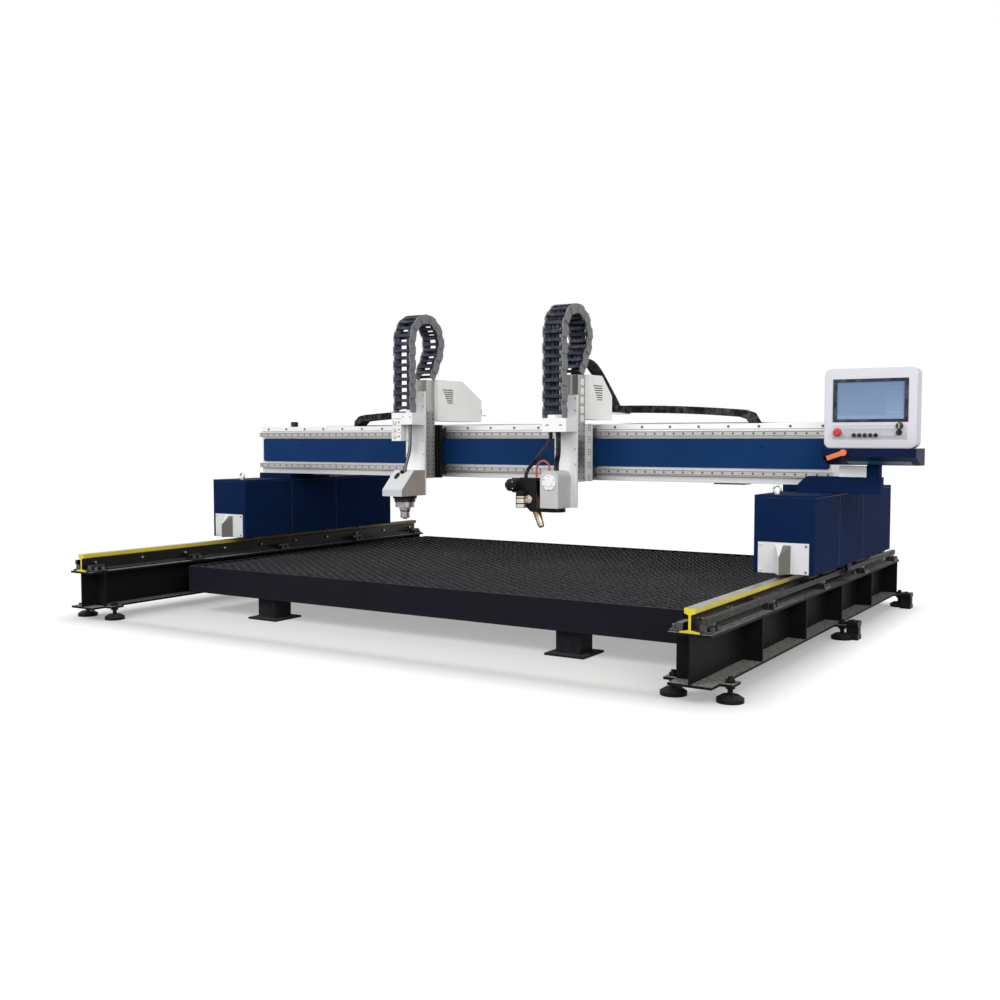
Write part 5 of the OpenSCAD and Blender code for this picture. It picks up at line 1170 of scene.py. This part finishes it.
# carriages: sheet joints, lid lines and lid screws
carriageMarks = {"railX": 2.0, "faces": ((2.157, 1), (1.843, -1)), "proud": 0.0004, "joints": (-0.193, 0.297),
                 "jointZ": (0.43, 0.824), "jointWidth": 0.0022, "lidY": (-0.66, 0.972), "lidZ": (0.816, 0.8178),
                 "frontY": -0.664, "frontHalf": 0.153, "screwY": (-0.62, 0.93), "screwZ": 0.805, "pitch": 0.31,
                 "screw": (0.006, 0.003)}
mesh = bmesh.new()
(joint0, joint1), (lid0, lid1), (y0, y1) = (carriageMarks[key] for key in ("jointZ", "lidZ", "lidY"))
for side in (-1, 1):
    for face, way in carriageMarks["faces"]:
        x = side * face
        near, far = sorted((x, x + side * way * carriageMarks["proud"]))
        for y in carriageMarks["joints"]:
            addBlock(mesh, (near, y, joint0), (far, y + carriageMarks["jointWidth"], joint1))
        addBlock(mesh, (near, y0, lid0), (far, y1, lid1))
        for y in spaced(*carriageMarks["screwY"], carriageMarks["pitch"]):
            addHead(mesh, (x, y, carriageMarks["screwZ"]), (side * way, 0, 0), *carriageMarks["screw"], index=1)
    middle, half, front = side * carriageMarks["railX"], carriageMarks["frontHalf"], carriageMarks["frontY"]
    addBlock(mesh, (middle - half, front - carriageMarks["proud"], lid0), (middle + half, front, lid1))
newPiece("carriage_marks", mesh, "gantry", ["bezelPlastic", "trayNavy"])

# rails: bolts along the web
webBolts = {"rails": (-2.0, 2.0), "z": 0.352, "footX": 0.006, "y": (-1.8, 1.42), "pitch": 0.34,
            "bolt": (0.0085, 0.0165)}
mesh = bmesh.new()
for x in webBolts["rails"]:
    for y in spaced(*webBolts["y"], webBolts["pitch"]):
        for way in (-1, 1):
            addHead(mesh, (x + way * webBolts["footX"], y, webBolts["z"]), (way, 0, 0), *webBolts["bolt"], sides=6)
newPiece("web_bolts", mesh, "base", "zincScrew")

# locating blocks set over the outer edge of two feet on the console side; the profile is in millimetres
footBlocks = {"x": (2.152, 2.219), "front": (-0.02, 1.31), "boltY": 0.04, "top": 0.102, "bolt": (0.011, 0.008),
              "profile": ((0, 0), (80, 0), (80, 22), (64, 32), (64, 70), (80, 80), (80, 102), (0, 102),
                          (0, 80), (16, 70),
                          (16, 32), (0, 22))}
mesh = bmesh.new()
x0, x1 = footBlocks["x"]
for y in footBlocks["front"]:
    addPrism(mesh, [(x0, y + a / 1000, z / 1000) for a, z in footBlocks["profile"]], (x1 - x0, 0, 0))
    addHead(mesh, ((x0 + x1) / 2, y + footBlocks["boltY"], footBlocks["top"]), upward, *footBlocks["bolt"],
            sides=6, index=1)
newPiece("foot_blocks", mesh, "base", ["darkPaint", "darkSteel"])
print("carriages and rails fitted")


# floor, light and sky
def seenRays(tree):
    # rays from the camera, straight or by way of a mirror or glass
    path = add(tree, "LightPath").outputs
    bent = maths(tree, "MAXIMUM", path["Is Glossy Ray"], path["Is Transmission Ray"])
    return maths(tree, "MAXIMUM", path["Is Camera Ray"], bent)


floorLook = {"colour": (0.43, 0.422, 0.416), "half": 40.0, "z": -0.0005, "lift": 0.31, "under": (1.97, 1.5),
             "middle": -0.195, "fade": (0.0, 0.36)}
floorMesh = bmesh.new()
bmesh.ops.create_grid(floorMesh, x_segments=1, y_segments=1, size=floorLook["half"])
floorData = bpy.data.meshes.new("floor")
floorMesh.to_mesh(floorData)
floorMesh.free()
floor = bpy.data.objects.new("floor", floorData)
floor.location.z = floorLook["z"]
scene.collection.objects.link(floor)
floor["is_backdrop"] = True
floorFinish, tree, shader = newFinish("floorPaint", Roughness=0.95, Emission_Strength=1.0, Specular_IOR_Level=0.1)
spot = objectAxes(tree)
beside = [maths(tree, "MAXIMUM", maths(tree, "SUBTRACT", maths(tree, "ABSOLUTE", value), half), 0.0)
          for value, half in zip((spot[0], maths(tree, "SUBTRACT", spot[1], floorLook["middle"])), floorLook["under"])]
away = maths(tree, "SQRT", maths(tree, "ADD", *[maths(tree, "MULTIPLY", value, value) for value in beside]))
seen = seenRays(tree)
far = maths(tree, "MULTIPLY", spread(tree, away, *floorLook["fade"]), seen)  # white in the distance, as the sky is
glow = maths(tree, "MAXIMUM", far, maths(tree, "MULTIPLY", seen, floorLook["lift"]))
tree.links.new(mixColour(tree, far, rgb(*floorLook["colour"]), rgb(0, 0, 0)), shader.inputs["Base Color"])
tree.links.new(mixColour(tree, glow, rgb(0, 0, 0), rgb(1, 1, 1)), shader.inputs["Emission Color"])
floorData.materials.append(floorFinish)

skyLook = {"colour": (1, 1, 1), "light": 0.5, "seen": 1.0}
world = bpy.data.worlds.new("studio")
scene.world = world
world.use_nodes = True
tree = world.node_tree
background = tree.nodes["Background"]
background.inputs["Color"].default_value = rgb(*skyLook["colour"])
strength = spread(tree, seenRays(tree), 0.0, 1.0, skyLook["light"], skyLook["seen"])
tree.links.new(strength, background.inputs["Strength"])

lamps = {
    "keyLamp": {"place": (-3.5, -7.5, 6.5), "aim": (0.0, -0.3, 0.8), "size": 5.0, "power": 530.0},
    "fillLamp": {"place": (6.5, -5.0, 4.0), "aim": (0.8, -0.3, 0.7), "size": 4.0, "power": 280.0},
    "topLamp": {"place": (0.0, 0.5, 7.0), "aim": (0.0, 0.0, 0.5), "size": 6.0, "power": 50.0},
}
for name, lamp in lamps.items():
    data = bpy.data.lights.new(name, "AREA")
    data.shape = "SQUARE"
    data.size = lamp["size"]
    data.energy = lamp["power"]
    thing = bpy.data.objects.new(name, data)
    thing.location = lamp["place"]
    thing.rotation_euler = (Vector(lamp["aim"]) - Vector(lamp["place"])).to_track_quat("-Z", "Y").to_euler()
    scene.collection.objects.link(thing)
print("floor, lamps and sky set")

low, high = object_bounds()
